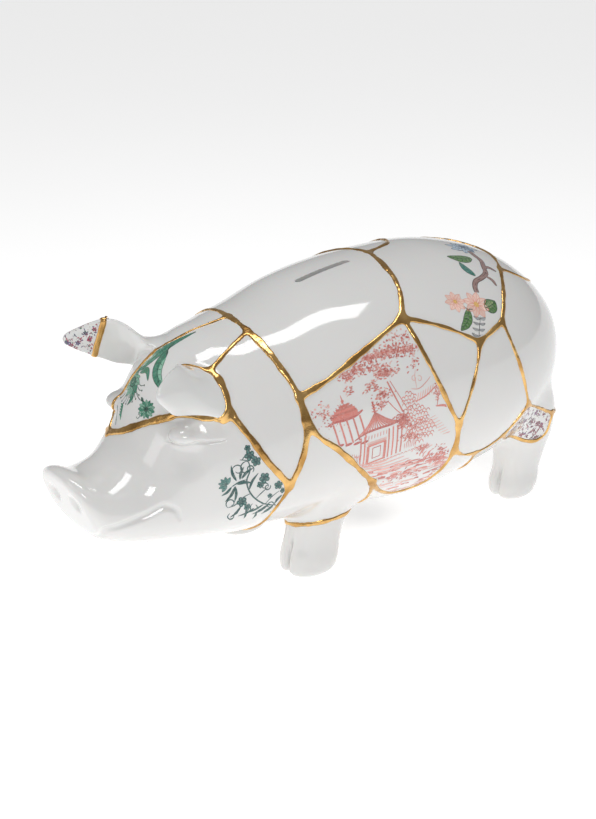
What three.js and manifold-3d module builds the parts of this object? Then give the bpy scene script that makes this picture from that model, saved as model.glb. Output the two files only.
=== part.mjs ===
// A hollow porcelain pig bank, broken into shards and mended with raised gold seams.
// Millimetres, +Z up. The snout points to -X, the pig's left side to -Y, and the feet stand
// on z = 0 with the origin under the middle of the object.
import * as THREE from 'three';
import { mergeVertices } from 'three/addons/utils/BufferGeometryUtils.js';
import Module from 'manifold-3d';

const wasm = await Module();
wasm.setup();

// ---- driving dimensions ----
const WALL = 5;                 // porcelain wall
const GAP = 0.3;                // clearance between a shard and the gold in its joint
const GOLD_PROUD = 0.8;         // how far the gold stands above the glaze
const SLOT_LENGTH = 43;
const SLOT_WIDTH = 5.5;
const SLOT_X = 7.5;
const HOLE_RADIUS = 17;         // filler hole under the belly
const HOLE_X = 44;
const STOPPER_FLANGE_RADIUS = 21;
const STOPPER_FLANGE_THICKNESS = 3;
const STOPPER_PLUG_HEIGHT = 11;
const REAR_START = 82;          // where the rump begins to round off
const REAR_END = 194;
const REAR_POWER = 2.1;
const SNOUT_FACE = new THREE.Vector3(-184, 0, 77);
const SNOUT_NORMAL = new THREE.Vector3(-0.93, 0, -0.37).normalize();
const AROUND_BODY = 20;
const AROUND_ROOM = 16;
const AROUND_LEG = 12;
const AROUND_EAR = 10;
const AROUND_HOLE = 20;

// ---- smooth curve through hand-set stations ----
function profile(stations) {
  const slopes = stations.map((_, i) => {
    const a = Math.max(i - 1, 0);
    const b = Math.min(i + 1, stations.length - 1);
    return (stations[b][1] - stations[a][1]) / (stations[b][0] - stations[a][0]);
  });
  return (at) => {
    const last = stations.length - 1;
    const s = Math.min(Math.max(at, stations[0][0]), stations[last][0]);
    let i = 0;
    while (i < last - 1 && s > stations[i + 1][0]) i += 1;
    const [x0, y0] = stations[i];
    const [x1, y1] = stations[i + 1];
    const span = x1 - x0;
    const t = (s - x0) / span;
    const t2 = t * t;
    const t3 = t2 * t;
    return (2 * t3 - 3 * t2 + 1) * y0 + (t3 - 2 * t2 + t) * span * slopes[i]
      + (3 * t2 - 2 * t3) * y1 + (t3 - t2) * span * slopes[i + 1];
  };
}

// ---- the body: top line, belly line, level of the widest point, and half width ----
const topLine = profile([[-197, 100], [-184, 98], [-173, 93.5], [-161, 93], [-146, 99.5], [-131, 121],
  [-113, 148.5], [-94, 160], [-72, 165], [-43, 170.5], [-10, 179], [29, 184], [67, 184.5], [106, 183.5],
  [144, 181.5], [192, 172]]);
const bellyLine = profile([[-197, 58], [-184, 54.5], [-169, 50.5], [-154, 45], [-134, 41.5], [-113, 40],
  [-91, 36.5], [-67, 34.5], [-38, 34], [0, 28.5], [48, 23.5], [86, 30], [125, 36], [192, 42]]);
const midLine = profile([[-197, 79], [-173, 73], [-144, 69], [-106, 75], [-67, 88], [-19, 99], [38, 103],
  [96, 105], [192, 106]]);
const halfWidth = profile([[-197, 29.5], [-184, 29.5], [-171, 32.5], [-154, 37], [-134, 44], [-115, 56],
  [-91, 65], [-62, 71], [-29, 77.5], [19, 84.5], [67, 88], [115, 86.5], [192, 82]]);
const BODY_STATIONS = [-197, -183, -166, -148, -134, -118, -101, -80, -54, -24, 12, 50, 84, 112, 136, 156,
  171, 183, 190, 193.4];
const ROOM_STATIONS = [-170, -146, -120, -92, -54, -5, 50, 100, 140, 168, 182, 187.5];
const SQUARENESS = 2.15;        // 2 is an ellipse, more is boxier

// Point on the body at station x and angle phi in degrees: 0 on the back, 90 on the left side.
// grow moves the whole skin outwards.
function bodyPoint(x, phiDegrees, grow = 0) {
  const rearEnd = REAR_END + grow;
  const u = Math.min(Math.max((x - REAR_START) / (rearEnd - REAR_START), 0), 0.99999);
  const cap = (1 - u ** REAR_POWER) ** (1 / REAR_POWER);
  const phi = THREE.MathUtils.degToRad(phiDegrees);
  const across = -Math.sin(phi);
  const up = Math.cos(phi);
  const mid = midLine(x);
  const height = (up >= 0 ? topLine(x) - mid : mid - bellyLine(x)) * cap + grow;
  const width = halfWidth(x) * cap + grow;
  const power = SQUARENESS;
  const reach = ((Math.abs(across) / width) ** power + (Math.abs(up) / height) ** power) ** (-1 / power);
  return new THREE.Vector3(x, across * reach, mid + up * reach);
}

function bodyNormal(x, phi) {
  const along = bodyPoint(Math.min(x + 0.5, REAR_END - 0.5), phi).sub(bodyPoint(x - 0.5, phi));
  const around = bodyPoint(x, phi + 0.5).sub(bodyPoint(x, phi - 0.5));
  return along.cross(around).normalize().negate();
}

// ---- closed lofts ----
// rings are equal-length lists of points, each turning the same way, closed at both ends by fans.
function loft(rings) {
  const count = rings[0].length;
  const positions = [];
  for (const ring of rings) for (const p of ring) positions.push(p.x, p.y, p.z);
  const index = [];
  for (let r = 0; r + 1 < rings.length; r += 1) {
    for (let i = 0; i < count; i += 1) {
      const a = r * count + i;
      const b = r * count + (i + 1) % count;
      index.push(a, b, b + count, a, b + count, a + count);
    }
  }
  for (const [r, flip] of [[0, true], [rings.length - 1, false]]) {
    const centre = new THREE.Vector3();
    for (const p of rings[r]) centre.addScaledVector(p, 1 / count);
    const c = positions.length / 3;
    positions.push(centre.x, centre.y, centre.z);
    for (let i = 0; i < count; i += 1) {
      const a = r * count + i;
      const b = r * count + (i + 1) % count;
      if (flip) index.push(c, b, a);
      else index.push(c, a, b);
    }
  }
  const geometry = new THREE.BufferGeometry();
  geometry.setAttribute('position', new THREE.Float32BufferAttribute(positions, 3));
  geometry.setIndex(index);
  return geometry;
}

// ---- solids ----
function solid(geometry) {
  const bare = geometry.clone();
  bare.deleteAttribute('normal');
  bare.deleteAttribute('uv');
  const merged = mergeVertices(bare, 1e-4);
  const mesh = new wasm.Mesh({
    numProp: 3,
    vertProperties: new Float32Array(merged.attributes.position.array),
    triVerts: new Uint32Array(merged.index.array),
  });
  const made = new wasm.Manifold(mesh);
  return made.volume() < 0 ? solid(turnedOut(merged)) : made;
}

// The same surface with every face turned the other way.
function turnedOut(geometry) {
  const turned = geometry.clone();
  const index = turned.index.array;
  for (let i = 0; i < index.length; i += 3) [index[i], index[i + 1]] = [index[i + 1], index[i]];
  return turned;
}

const joined = (solids) => solids.reduce((all, one) => all.add(one));

function placed(geometry, position, quaternion = new THREE.Quaternion()) {
  const matrix = new THREE.Matrix4().compose(position, quaternion, new THREE.Vector3(1, 1, 1));
  return solid(geometry.clone().applyMatrix4(matrix));
}

function bodySolid(grow, stations, around) {
  const rings = stations.map((x) => {
    const ring = [];
    for (let i = 0; i < around; i += 1) ring.push(bodyPoint(x, (i * 360) / around, grow));
    return ring;
  });
  return solid(loft(rings));
}

// ---- legs: centre and radii at heights above the floor ----
const FRONT_LEG = {
  x: profile([[0, -35], [19, -31], [43, -24.5], [77, -17.5]]),
  y: profile([[0, 37.5], [77, 37]]),
  long: profile([[0, 15.5], [5, 18], [12, 18.3], [21, 17.8], [38, 18.7], [58, 23], [72, 21], [82, 11.5]]),
  wide: profile([[0, 14], [5, 16.8], [12, 17.3], [21, 16.3], [38, 17.3], [58, 20], [72, 17.3], [82, 8]]),
  stations: [0, 1.5, 6, 20, 36, 56, 78],
};
const HIND_LEG = {
  x: profile([[0, 146], [19, 149], [43, 150], [77, 139], [100, 132]]),
  y: profile([[0, 40], [43, 42], [77, 42]]),
  long: profile([[0, 13], [5, 15.8], [12, 16.5], [21, 15.8], [38, 18.5], [58, 25], [77, 29], [96, 19]]),
  wide: profile([[0, 12], [5, 14.8], [12, 15.5], [21, 15], [38, 17.5], [58, 24], [77, 27], [96, 17]]),
  stations: [0, 1.5, 6, 20, 36, 56, 74, 90],
};

const LEG_ROOM_STATIONS = [WALL, 20, 38, 60];

function legSolid(leg, side, grow, stations) {
  const rings = stations.map((z) => {
    const ring = [];
    for (let i = 0; i < AROUND_LEG; i += 1) {
      const angle = (i * 2 * Math.PI) / AROUND_LEG;
      ring.push(new THREE.Vector3(
        leg.x(z) + Math.cos(angle) * (leg.long(z) + grow),
        side * leg.y(z) + Math.sin(angle) * (leg.wide(z) + grow),
        z,
      ));
    }
    return ring;
  });
  return solid(loft(rings));
}

// ---- ears: a twisted leaf in a frame that runs from the root to the tip ----
const EAR_ROOT = new THREE.Vector3(-105.6, 37.3, 144.2);
const LEFT_EAR_SHIFT = new THREE.Vector3(-4, -1.3, -3.6);       // it sits a little lower and further forward
const EAR_AXIS = new THREE.Vector3(-0.908, 0.347, 0.233).normalize();
const EAR_RISE = new THREE.Vector3(0, 0, 1).addScaledVector(EAR_AXIS, -EAR_AXIS.z).normalize();
const EAR_OUT = new THREE.Vector3().crossVectors(EAR_RISE, EAR_AXIS);
const EAR_LENGTH = 48.5;
const EAR_STATIONS = [-8, 0, 8, 16, 24, 32, 40, 45, EAR_LENGTH];
const earHalfWidth = profile([[-8, 21.4], [0, 21.4], [17, 16], [31, 12.4], [40, 8], [45, 5], [EAR_LENGTH, 2.4]]);
const earHalfThickness = profile([[-8, 5.5], [0, 4.6], [15, 3.8], [34, 3], [EAR_LENGTH, 1.9]]);
const earTwist = profile([[-8, -56], [0, -53], [19, -21], [EAR_LENGTH, -16]]);
const earBend = profile([[-8, 0], [0, 0], [24, 4.5], [EAR_LENGTH, -1]]);
const EAR_CUP = 4.5;            // how far the long edges curl towards the inner face
const RIGHT_EAR_BEND = 1;       // the right ear bows upwards, the left ear is straight
const LEFT_EAR_BEND = 0;
const EAR_BAND_AT = 27.5;       // gold band on the right ear, from the root
const EAR_BAND_WIDTH = 3.6;

function earSolid(side, grow) {
  const bowing = side > 0 ? RIGHT_EAR_BEND : LEFT_EAR_BEND;
  const root = side > 0 ? EAR_ROOT : EAR_ROOT.clone().add(LEFT_EAR_SHIFT);
  const rings = EAR_STATIONS.map((along) => {
    const twist = THREE.MathUtils.degToRad(earTwist(along));
    const ring = [];
    for (let i = 0; i < AROUND_EAR; i += 1) {
      const angle = (i * 2 * Math.PI) / AROUND_EAR;
      const w = Math.cos(angle) * (earHalfWidth(along) + grow);
      const v = w + bowing * earBend(along);
      const t = Math.sin(angle) * (earHalfThickness(along) + grow) + (w / 20) ** 2 * EAR_CUP - 1.5;
      const rise = v * Math.cos(twist) + t * Math.sin(twist);
      const out = t * Math.cos(twist) - v * Math.sin(twist);
      const p = root.clone().addScaledVector(EAR_AXIS, along)
        .addScaledVector(EAR_RISE, rise).addScaledVector(EAR_OUT, out);
      p.y *= side;
      ring.push(p);
    }
    return ring;
  });
  return solid(loft(rings));
}

// ---- tail: a small curl lying on the rump ----
const TAIL_RADIUS = 3.4;
function tailSolid() {
  const curl = [[180, 0, 134], [189, -2, 128], [192.4, -9, 120], [192.4, -10, 109], [192.4, -2, 104],
    [192.4, 5, 109], [191.8, 3, 116]];
  const path = new THREE.CatmullRomCurve3(curl.map((p) => new THREE.Vector3(...p)));
  const section = new THREE.Shape();
  section.absarc(0, 0, TAIL_RADIUS, 0, Math.PI * 2);
  return solid(new THREE.ExtrudeGeometry(section, {
    extrudePath: path, steps: 16, curveSegments: 3, bevelEnabled: false,
  }));
}

// ---- seams ----
// Each seam is a line of (x, phi) points on the body and the width of its gold. reach is how far
// outwards the break runs where a leg, or anything else that stands on the body, is broken too.
const SEAMS = [
  { name: 'neck_left', width: 4.2, points: [[-66, 0], [-67, 16], [-65, 34], [-60, 57], [-59, 68], [-61, 78],
    [-66, 88], [-72, 96]] },
  { name: 'throat', width: 2.2, points: [[-72, 96], [-80, 108], [-83, 130], [-86, 155], [-88, 180]] },
  { name: 'neck_right', width: 3.2, points: [[-66, 0], [-62, -19], [-58, -46], [-61, -75], [-69, -100],
    [-78, -130], [-88, -180]] },
  { name: 'parting', width: 1.8, points: [[-66, 0], [-87, -2], [-103, -6], [-114, -14], [-122, -26],
    [-129, -36], [-140, -36]] },
  { name: 'brow', width: 4.4, points: [[-140, -36], [-140, -18], [-137, 0], [-130, 18], [-121, 30],
    [-111, 40], [-101, 44]] },
  { name: 'behind_ear', width: 2.6, points: [[-67, 16], [-85, 20], [-101, 23]] },
  { name: 'ear_line', width: 1.6, points: [[-101, 23], [-101, 33], [-101, 44]] },
  { name: 'cheek', width: 4, points: [[-101, 44], [-95, 57], [-85, 77], [-72, 96]] },
  { name: 'temple', width: 3, points: [[-140, -36], [-130, -60], [-115, -82], [-95, -95], [-69, -100]] },
  { name: 'back_left', width: 3.6, points: [[22, 45], [33, 32], [42, 12], [48, -2]] },
  { name: 'back_right', width: 3, points: [[48, -2], [45, -22], [36, -44]] },
  { name: 'loin', width: 3, points: [[48, -2], [74, -10], [86, -28], [88, -50]] },
  { name: 'rump_lower', width: 3, points: [[22, 45], [46, 54], [70, 65]] },
  { name: 'rump_middle', width: 3, points: [[70, 65], [94, 60]] },
  { name: 'rump_rear', width: 3, points: [[94, 60], [110, 46], [124, 33]] },
  { name: 'rump_top', width: 2.6, points: [[124, 33], [134, 20], [137, 5], [130, -12], [112, -32], [88, -50]] },
  { name: 'tail_arch', width: 2.4, points: [[124, 33], [150, 38], [168, 30], [174, 0], [166, -36],
    [140, -75]] },
  { name: 'haunch_upper', width: 2.8, points: [[88, -50], [112, -62], [140, -75]] },
  { name: 'hip', width: 2.6, points: [[70, 65], [58, 82], [48, 97]] },
  { name: 'flank_rear', width: 3, points: [[22, 45], [27, 64], [37, 83], [48, 97]] },
  { name: 'hip_low', width: 4, points: [[48, 97], [49, 110]] },
  { name: 'rear_left', width: 2.6, points: [[94, 60], [97, 70], [103, 82], [110, 94], [116, 102]] },
  { name: 'patch_top', width: 2.2, reach: 30, points: [[116, 102], [133, 110], [150, 119]] },
  { name: 'patch_front', width: 3, reach: 30, points: [[116, 102], [109, 106], [97, 114]] },
  { name: 'patch_low', width: 2.4, reach: 30, points: [[150, 119], [145, 127], [131, 131], [113, 125],
    [97, 114]] },
  { name: 'groin_left', width: 2.4, reach: 12, points: [[97, 114], [85, 117], [73, 118]] },
  { name: 'belly_left', width: 2.4, points: [[73, 118], [60, 115], [49, 110]] },
  { name: 'leg_front', width: 2.2, points: [[73, 118], [80, 142]] },
  { name: 'leg_inner', width: 2.2, reach: 30, points: [[80, 142], [104, 158], [130, 164], [152, 158],
    [168, 140], [162, 126], [150, 119]] },
  { name: 'belly_rear', width: 2.4, points: [[80, 142], [83, 162], [84, 180]] },
  { name: 'flank_front', width: 3.4, points: [[22, 45], [-12, 52], [-36, 56], [-60, 57]] },
  { name: 'flank_lower', width: 3.4, points: [[-59, 68], [-54, 76], [-39, 90], [-24, 104], [-10, 116]] },
  { name: 'flank_bottom', width: 2.8, points: [[-10, 116], [4, 128], [18, 134], [34, 131], [44, 122],
    [49, 110]] },
  { name: 'elbow_left', width: 2.8, reach: 12, points: [[-10, 116], [-2, 135], [0, 158], [0, 180]] },
  { name: 'keel', width: 2.4, points: [[-88, 180], [-60, 180], [-30, 180], [0, 180]] },
  { name: 'saddle_right', width: 3, points: [[-58, -46], [-22, -54], [12, -50], [36, -44]] },
  { name: 'loin_low', width: 2.6, points: [[36, -44], [62, -52], [88, -50]] },
  { name: 'flank_split', width: 3, points: [[36, -44], [38, -68], [34, -92]] },
  { name: 'shoulder_right', width: 3, points: [[-61, -75], [-42, -92], [-22, -106]] },
  { name: 'flank_low_right', width: 2.6, points: [[-22, -106], [6, -102], [34, -92]] },
  { name: 'haunch_low', width: 2.8, points: [[34, -92], [62, -104], [90, -100]] },
  { name: 'haunch_rear', width: 2.8, points: [[88, -50], [97, -76], [90, -100]] },
  { name: 'rump_right', width: 2.6, points: [[140, -75], [118, -92], [90, -100]] },
  { name: 'elbow_right', width: 2.6, reach: 12, points: [[-22, -106], [-4, -128], [0, -155], [0, -180]] },
  { name: 'groin_right', width: 2.6, points: [[90, -100], [78, -120], [76, -150], [84, -180]] },
  { name: 'rear_bottom', width: 2.4, reach: 30, points: [[168, 140], [178, 162], [180, 180]] },
  { name: 'rear_right', width: 2.4, reach: 30, points: [[180, -180], [174, -145], [160, -105], [140, -75]] },
];
const SEAM_STEP = 32;           // longest straight stretch of a seam
const CUT_OUT = 5;              // how far a cut stands outside and inside the skin
const CUT_IN = 13;
const GOLD_IN = WALL - GAP;

// A wall that stands across the skin along one seam, to cut the shards and to form the gold.
function seamWall({ points, width }, spare, depths) {
  const track = [];
  for (let i = 0; i + 1 < points.length; i += 1) {
    const [x0, phi0] = points[i];
    const [x1, phi1] = points[i + 1];
    const steps = Math.ceil(bodyPoint(x0, phi0).distanceTo(bodyPoint(x1, phi1)) / SEAM_STEP);
    for (let s = i === 0 ? 0 : 1; s <= steps; s += 1) {
      const t = s / steps;
      const x = x0 + (x1 - x0) * t;
      const phi = phi0 + (phi1 - phi0) * t;
      track.push({ at: bodyPoint(x, phi), normal: bodyNormal(x, phi) });
    }
  }
  const half = width / 2 + spare;
  const last = track.length - 1;
  const rings = track.map(({ at, normal }, i) => {
    const before = track[Math.max(i - 1, 0)].at;
    const after = track[Math.min(i + 1, last)].at;
    const along = after.clone().sub(before).normalize();
    const side = new THREE.Vector3().crossVectors(normal, along).normalize();
    const centre = at.clone();
    if (i === 0) centre.addScaledVector(along, -half);
    if (i === last) centre.addScaledVector(along, half);
    const corner = (across, out) => centre.clone().addScaledVector(side, across).addScaledVector(normal, out);
    const rightFace = depths.map((out) => corner(half, out));
    const leftFace = depths.map((out) => corner(-half, out)).reverse();
    return [...rightFace, ...leftFace];
  });
  return solid(loft(rings));
}

// ---- rings of gold round a leg or an ear: thin slabs across it ----
const ANKLES = {
  front_left: { leg: FRONT_LEG, side: -1, height: 34.5, width: 3, tilt: [0.15, -0.2] },
  front_right: { leg: FRONT_LEG, side: 1, height: 26, width: 2.8, tilt: [-0.12, 0.1] },
  hind_right: { leg: HIND_LEG, side: 1, height: 29, width: 2.8, tilt: [0.12, 0.08] },
};

function ankleSlab({ leg, side, height, width, tilt }, spare) {
  const normal = new THREE.Vector3(-tilt[0], -tilt[1], 1).normalize();
  const turn = new THREE.Quaternion().setFromUnitVectors(new THREE.Vector3(0, 0, 1), normal);
  const centre = new THREE.Vector3(leg.x(height), side * leg.y(height), height);
  return placed(new THREE.BoxGeometry(54, 46, width + 2 * spare), centre, turn);
}

function earSlab(spare) {
  const turn = new THREE.Quaternion().setFromUnitVectors(new THREE.Vector3(0, 0, 1), EAR_AXIS);
  const centre = EAR_ROOT.clone().addScaledVector(EAR_AXIS, EAR_BAND_AT);
  return placed(new THREE.BoxGeometry(60, 60, EAR_BAND_WIDTH + 2 * spare), centre, turn);
}

// ---- skins and hollow ----
function pigSkin(grow) {
  const stations = BODY_STATIONS.map((x, i) => (i === BODY_STATIONS.length - 1 ? x + grow : x));
  const skin = [bodySolid(grow, stations, AROUND_BODY)];
  for (const side of [-1, 1]) {
    for (const leg of [FRONT_LEG, HIND_LEG]) skin.push(legSolid(leg, side, grow, leg.stations));
  }
  const snoutTurn = new THREE.Quaternion().setFromUnitVectors(new THREE.Vector3(0, 0, 1), SNOUT_NORMAL);
  const snoutCentre = SNOUT_FACE.clone().addScaledVector(SNOUT_NORMAL, 30 + grow);
  return joined(skin).subtract(placed(new THREE.BoxGeometry(150, 150, 60), snoutCentre, snoutTurn));
}

function hollow() {
  const rooms = [bodySolid(-WALL, ROOM_STATIONS, AROUND_ROOM)];
  for (const side of [-1, 1]) {
    for (const leg of [FRONT_LEG, HIND_LEG]) {
      rooms.push(legSolid(leg, side, -WALL, LEG_ROOM_STATIONS));
    }
  }
  return joined(rooms);
}

function coinSlot() {
  const half = SLOT_LENGTH / 2 - SLOT_WIDTH / 2;
  const outline = new THREE.Shape();
  outline.moveTo(-half, -SLOT_WIDTH / 2);
  outline.lineTo(half, -SLOT_WIDTH / 2);
  outline.absarc(half, 0, SLOT_WIDTH / 2, -Math.PI / 2, Math.PI / 2);
  outline.lineTo(-half, SLOT_WIDTH / 2);
  outline.absarc(-half, 0, SLOT_WIDTH / 2, Math.PI / 2, (Math.PI * 3) / 2);
  const geometry = new THREE.ExtrudeGeometry(outline, { depth: 40, curveSegments: 4, bevelEnabled: false });
  return placed(geometry, new THREE.Vector3(SLOT_X, 0, 160));
}

function stopperHole() {
  const drill = new THREE.CylinderGeometry(HOLE_RADIUS, HOLE_RADIUS, 40, AROUND_HOLE).rotateX(Math.PI / 2);
  return placed(drill, new THREE.Vector3(HOLE_X, 0, 30));
}

// ---- build ----
const skin = pigSkin(0);
const room = hollow();
const shell = skin.add(earSolid(1, 0)).add(tailSolid()).subtract(room).subtract(coinSlot()).subtract(stopperHole());
const goldSkin = pigSkin(GOLD_PROUD).subtract(room);

const PAD_TOP = 1.9;            // thickness of the gold bed under the left ear
const earBed = earSolid(-1, GOLD_PROUD).intersect(pigSkin(PAD_TOP)).subtract(pigSkin(GAP));
// A seam with a reach crosses the root of a leg, so its gold is cut to the skin there.
const goldDepths = [-GOLD_IN, GOLD_PROUD];
const cutDepths = (seam) => [-CUT_IN - GAP, ...goldDepths, (seam.reach ?? CUT_OUT) + GAP];
const deepDepths = (seam) => [-CUT_IN, ...goldDepths, seam.reach];
const cuts = joined(SEAMS.map((seam) => seamWall(seam, GAP, cutDepths(seam))));
const plainGold = SEAMS.filter((seam) => !seam.reach).map((seam) => seamWall(seam, 0, goldDepths));
const deepGold = SEAMS.filter((seam) => seam.reach).map((seam) => seamWall(seam, 0, deepDepths(seam)));
const leftEar = earSolid(-1, 0).subtract(pigSkin(PAD_TOP + GAP))
  .subtract(joined(SEAMS.map((seam) => seamWall(seam, GAP, [-GOLD_IN, GOLD_PROUD + GAP]))));
const goldNet = joined(plainGold).add(joined(deepGold).intersect(goldSkin)).add(earBed);

const rings = {};
let shards = shell.subtract(cuts);
for (const [name, ankle] of Object.entries(ANKLES)) {
  rings[`gold_${name}_ankle`] = ankleSlab(ankle, 0).intersect(goldSkin).subtract(cuts);
  shards = shards.subtract(ankleSlab(ankle, GAP));
}
rings.gold_right_ear_band = earSlab(0).intersect(earSolid(1, GOLD_PROUD));
shards = shards.subtract(earSlab(GAP).intersect(earSolid(1, 2)));

// ---- shards, each named by a point inside its wall ----
const onSkin = (x, phi) => bodyPoint(x, phi).addScaledVector(bodyNormal(x, phi), -WALL / 2);
const legWall = (leg, side, z) => new THREE.Vector3(leg.x(z) + leg.long(z) - WALL / 2, side * leg.y(z), z);
const SHARDS = {
  face: onSkin(-160, 60),
  forehead: onSkin(-90, 8),
  left_neck: onSkin(-80, 45),
  right_temple: onSkin(-85, -50),
  right_ear_tip: EAR_ROOT.clone().addScaledVector(EAR_AXIS, 38),
  saddle: onSkin(-30, 10),
  left_flank: onSkin(0, 80),
  left_shoulder: onSkin(-50, 110),
  front_left_foot: legWall(FRONT_LEG, -1, 15),
  rump_top: onSkin(90, 15),
  left_flank_wedge: onSkin(45, 72),
  left_hip: onSkin(75, 90),
  rear: onSkin(150, 75),
  hind_left_patch: onSkin(128, 115),
  hind_left_leg: legWall(HIND_LEG, -1, 20),
  rump_cap: onSkin(150, -5),
  belly: onSkin(30, 150),
  right_shoulder: onSkin(-50, -110),
  front_right_foot: legWall(FRONT_LEG, 1, 12),
  right_flank: onSkin(-20, -75),
  right_loin: onSkin(70, -38),
  right_haunch: onSkin(60, -78),
  right_rump: onSkin(112, -78),
  hind_right_quarter: onSkin(100, -130),
  hind_right_foot: legWall(HIND_LEG, 1, 15),
};

const pieces = shards.decompose();
const probe = (point) => placed(new THREE.BoxGeometry(1.4, 1.4, 1.4), point);

function shardAt(name, point) {
  const found = pieces.find((piece) => piece.intersect(probe(point)).volume() > 0.1);
  if (!found) throw new Error(`no shard at ${name}`);
  return found;
}

// ---- stopper: a rubber plug with a flange that stays below the belly ----
function stopper() {
  const lowest = bellyLine(HOLE_X);
  const top = lowest - GAP;
  const plug = HOLE_RADIUS - GAP;
  const profilePoints = [
    [0, top - STOPPER_FLANGE_THICKNESS],
    [STOPPER_FLANGE_RADIUS - 1, top - STOPPER_FLANGE_THICKNESS],
    [STOPPER_FLANGE_RADIUS, top - STOPPER_FLANGE_THICKNESS + 1],
    [STOPPER_FLANGE_RADIUS, top - 0.6],
    [STOPPER_FLANGE_RADIUS - 0.6, top],
    [plug, top],
    [plug - 0.8, top + STOPPER_PLUG_HEIGHT],
    [plug - 5, top + STOPPER_PLUG_HEIGHT],
    [plug - 5, top + 2],
    [0, top + 2],
  ].map(([r, z]) => new THREE.Vector2(r, z));
  return placed(new THREE.LatheGeometry(profilePoints, AROUND_HOLE).rotateX(Math.PI / 2), new THREE.Vector3(HOLE_X, 0, 0));
}

// ---- scene ----
const PORCELAIN = new THREE.MeshStandardMaterial({ color: 0xf3f1ec, roughness: 0.12, metalness: 0 });
const GOLD = new THREE.MeshStandardMaterial({ color: 0xb98b3c, roughness: 0.25, metalness: 1 });
const RUBBER = new THREE.MeshStandardMaterial({ color: 0x2a2a2b, roughness: 0.7, metalness: 0 });

const pig = new THREE.Group();
function addNode(name, made, material) {
  const { vertProperties, triVerts, numProp } = made.getMesh();
  const positions = [];
  for (let i = 0; i < vertProperties.length; i += numProp) positions.push(...vertProperties.slice(i, i + 3));
  const geometry = new THREE.BufferGeometry();
  geometry.setAttribute('position', new THREE.Float32BufferAttribute(positions, 3));
  geometry.setIndex([...triVerts]);
  geometry.computeVertexNormals();
  const mesh = new THREE.Mesh(geometry, material);
  mesh.name = name;
  pig.add(mesh);
}

for (const [name, point] of Object.entries(SHARDS)) addNode(name, shardAt(name, point), PORCELAIN);
addNode('left_ear', leftEar, PORCELAIN);
addNode('gold_seams', goldNet, GOLD);
for (const [name, ring] of Object.entries(rings)) addNode(name, ring, GOLD);
addNode('stopper', stopper(), RUBBER);

export default pig;
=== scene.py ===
"""A hollow porcelain pig bank, broken and mended with raised gold seams.

The pig is one smooth field in millimetres. It is meshed, cut along the seams into the shards that the
CAD model names, and each shard gets a wall; the gold between them is raised into a bead.
"""
import math

import bpy
import numpy as np
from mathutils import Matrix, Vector
from mathutils.kdtree import KDTree


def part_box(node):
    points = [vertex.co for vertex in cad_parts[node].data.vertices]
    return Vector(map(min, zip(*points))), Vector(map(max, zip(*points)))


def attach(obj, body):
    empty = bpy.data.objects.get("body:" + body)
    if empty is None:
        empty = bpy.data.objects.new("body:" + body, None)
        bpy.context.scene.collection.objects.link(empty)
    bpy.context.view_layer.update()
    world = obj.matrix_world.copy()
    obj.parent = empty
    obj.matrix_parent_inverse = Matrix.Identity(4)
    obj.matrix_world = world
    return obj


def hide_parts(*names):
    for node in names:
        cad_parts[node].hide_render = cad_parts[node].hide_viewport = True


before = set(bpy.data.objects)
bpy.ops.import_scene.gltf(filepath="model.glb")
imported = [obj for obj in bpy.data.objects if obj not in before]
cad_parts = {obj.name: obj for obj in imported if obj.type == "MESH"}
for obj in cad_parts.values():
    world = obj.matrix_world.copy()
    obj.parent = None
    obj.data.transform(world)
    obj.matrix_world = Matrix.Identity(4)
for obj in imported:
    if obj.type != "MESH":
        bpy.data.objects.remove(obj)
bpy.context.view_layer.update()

MM = 0.001

# ---------------------------------------------------------------- sizes, in millimetres
GRID = 2.5           # first mesh of the skin, refined later where needed
WALL = 4.5                                  # thickness of the shards
EAR_WALL = 1.1                              # the same where the skin belongs to an ear
GOLD_HEIGHT = 0.85                          # how far the bead stands up from the glaze
GOLD_ROUND = 1.5                            # width of the rounded edge of the gold
GOLD_DEPTH = 1.6                            # how far the gold reaches into the wall
GOLD_WAVE = 0.16                            # unevenness of its height
WEB = 1.3                                   # how widely the gold fills the corners where seams meet
SLOT_LENGTH, SLOT_WIDTH, SLOT_X = 43.0, 5.5, 7.5
HOLE_RADIUS, HOLE_X = 17.0, 44.0
SLOT_ROLL, HOLE_ROLL = 1.6, 2.0             # width of the rounded glaze round the two openings
SKIN_LOW, SKIN_HIGH = (-206, -94, -6), (202, 94, 192)
# the skin is refined in steps, within these distances of a seam or opening and of a small detail
REFINE_STEPS = [(3.0, 3.0), (1.5, 1.6), (0.4, 0.5)]
FAR = 50.0                                  # stands for a distance that plays no part
REAR_START, REAR_END, REAR_POWER = 82.0, 194.0, 2.1
SQUARENESS = 2.15
SNOUT_FACE = np.array([-184.0, 0.0, 77.0])
SNOUT_NORMAL = np.array([-0.93, 0.0, -0.37])

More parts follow.
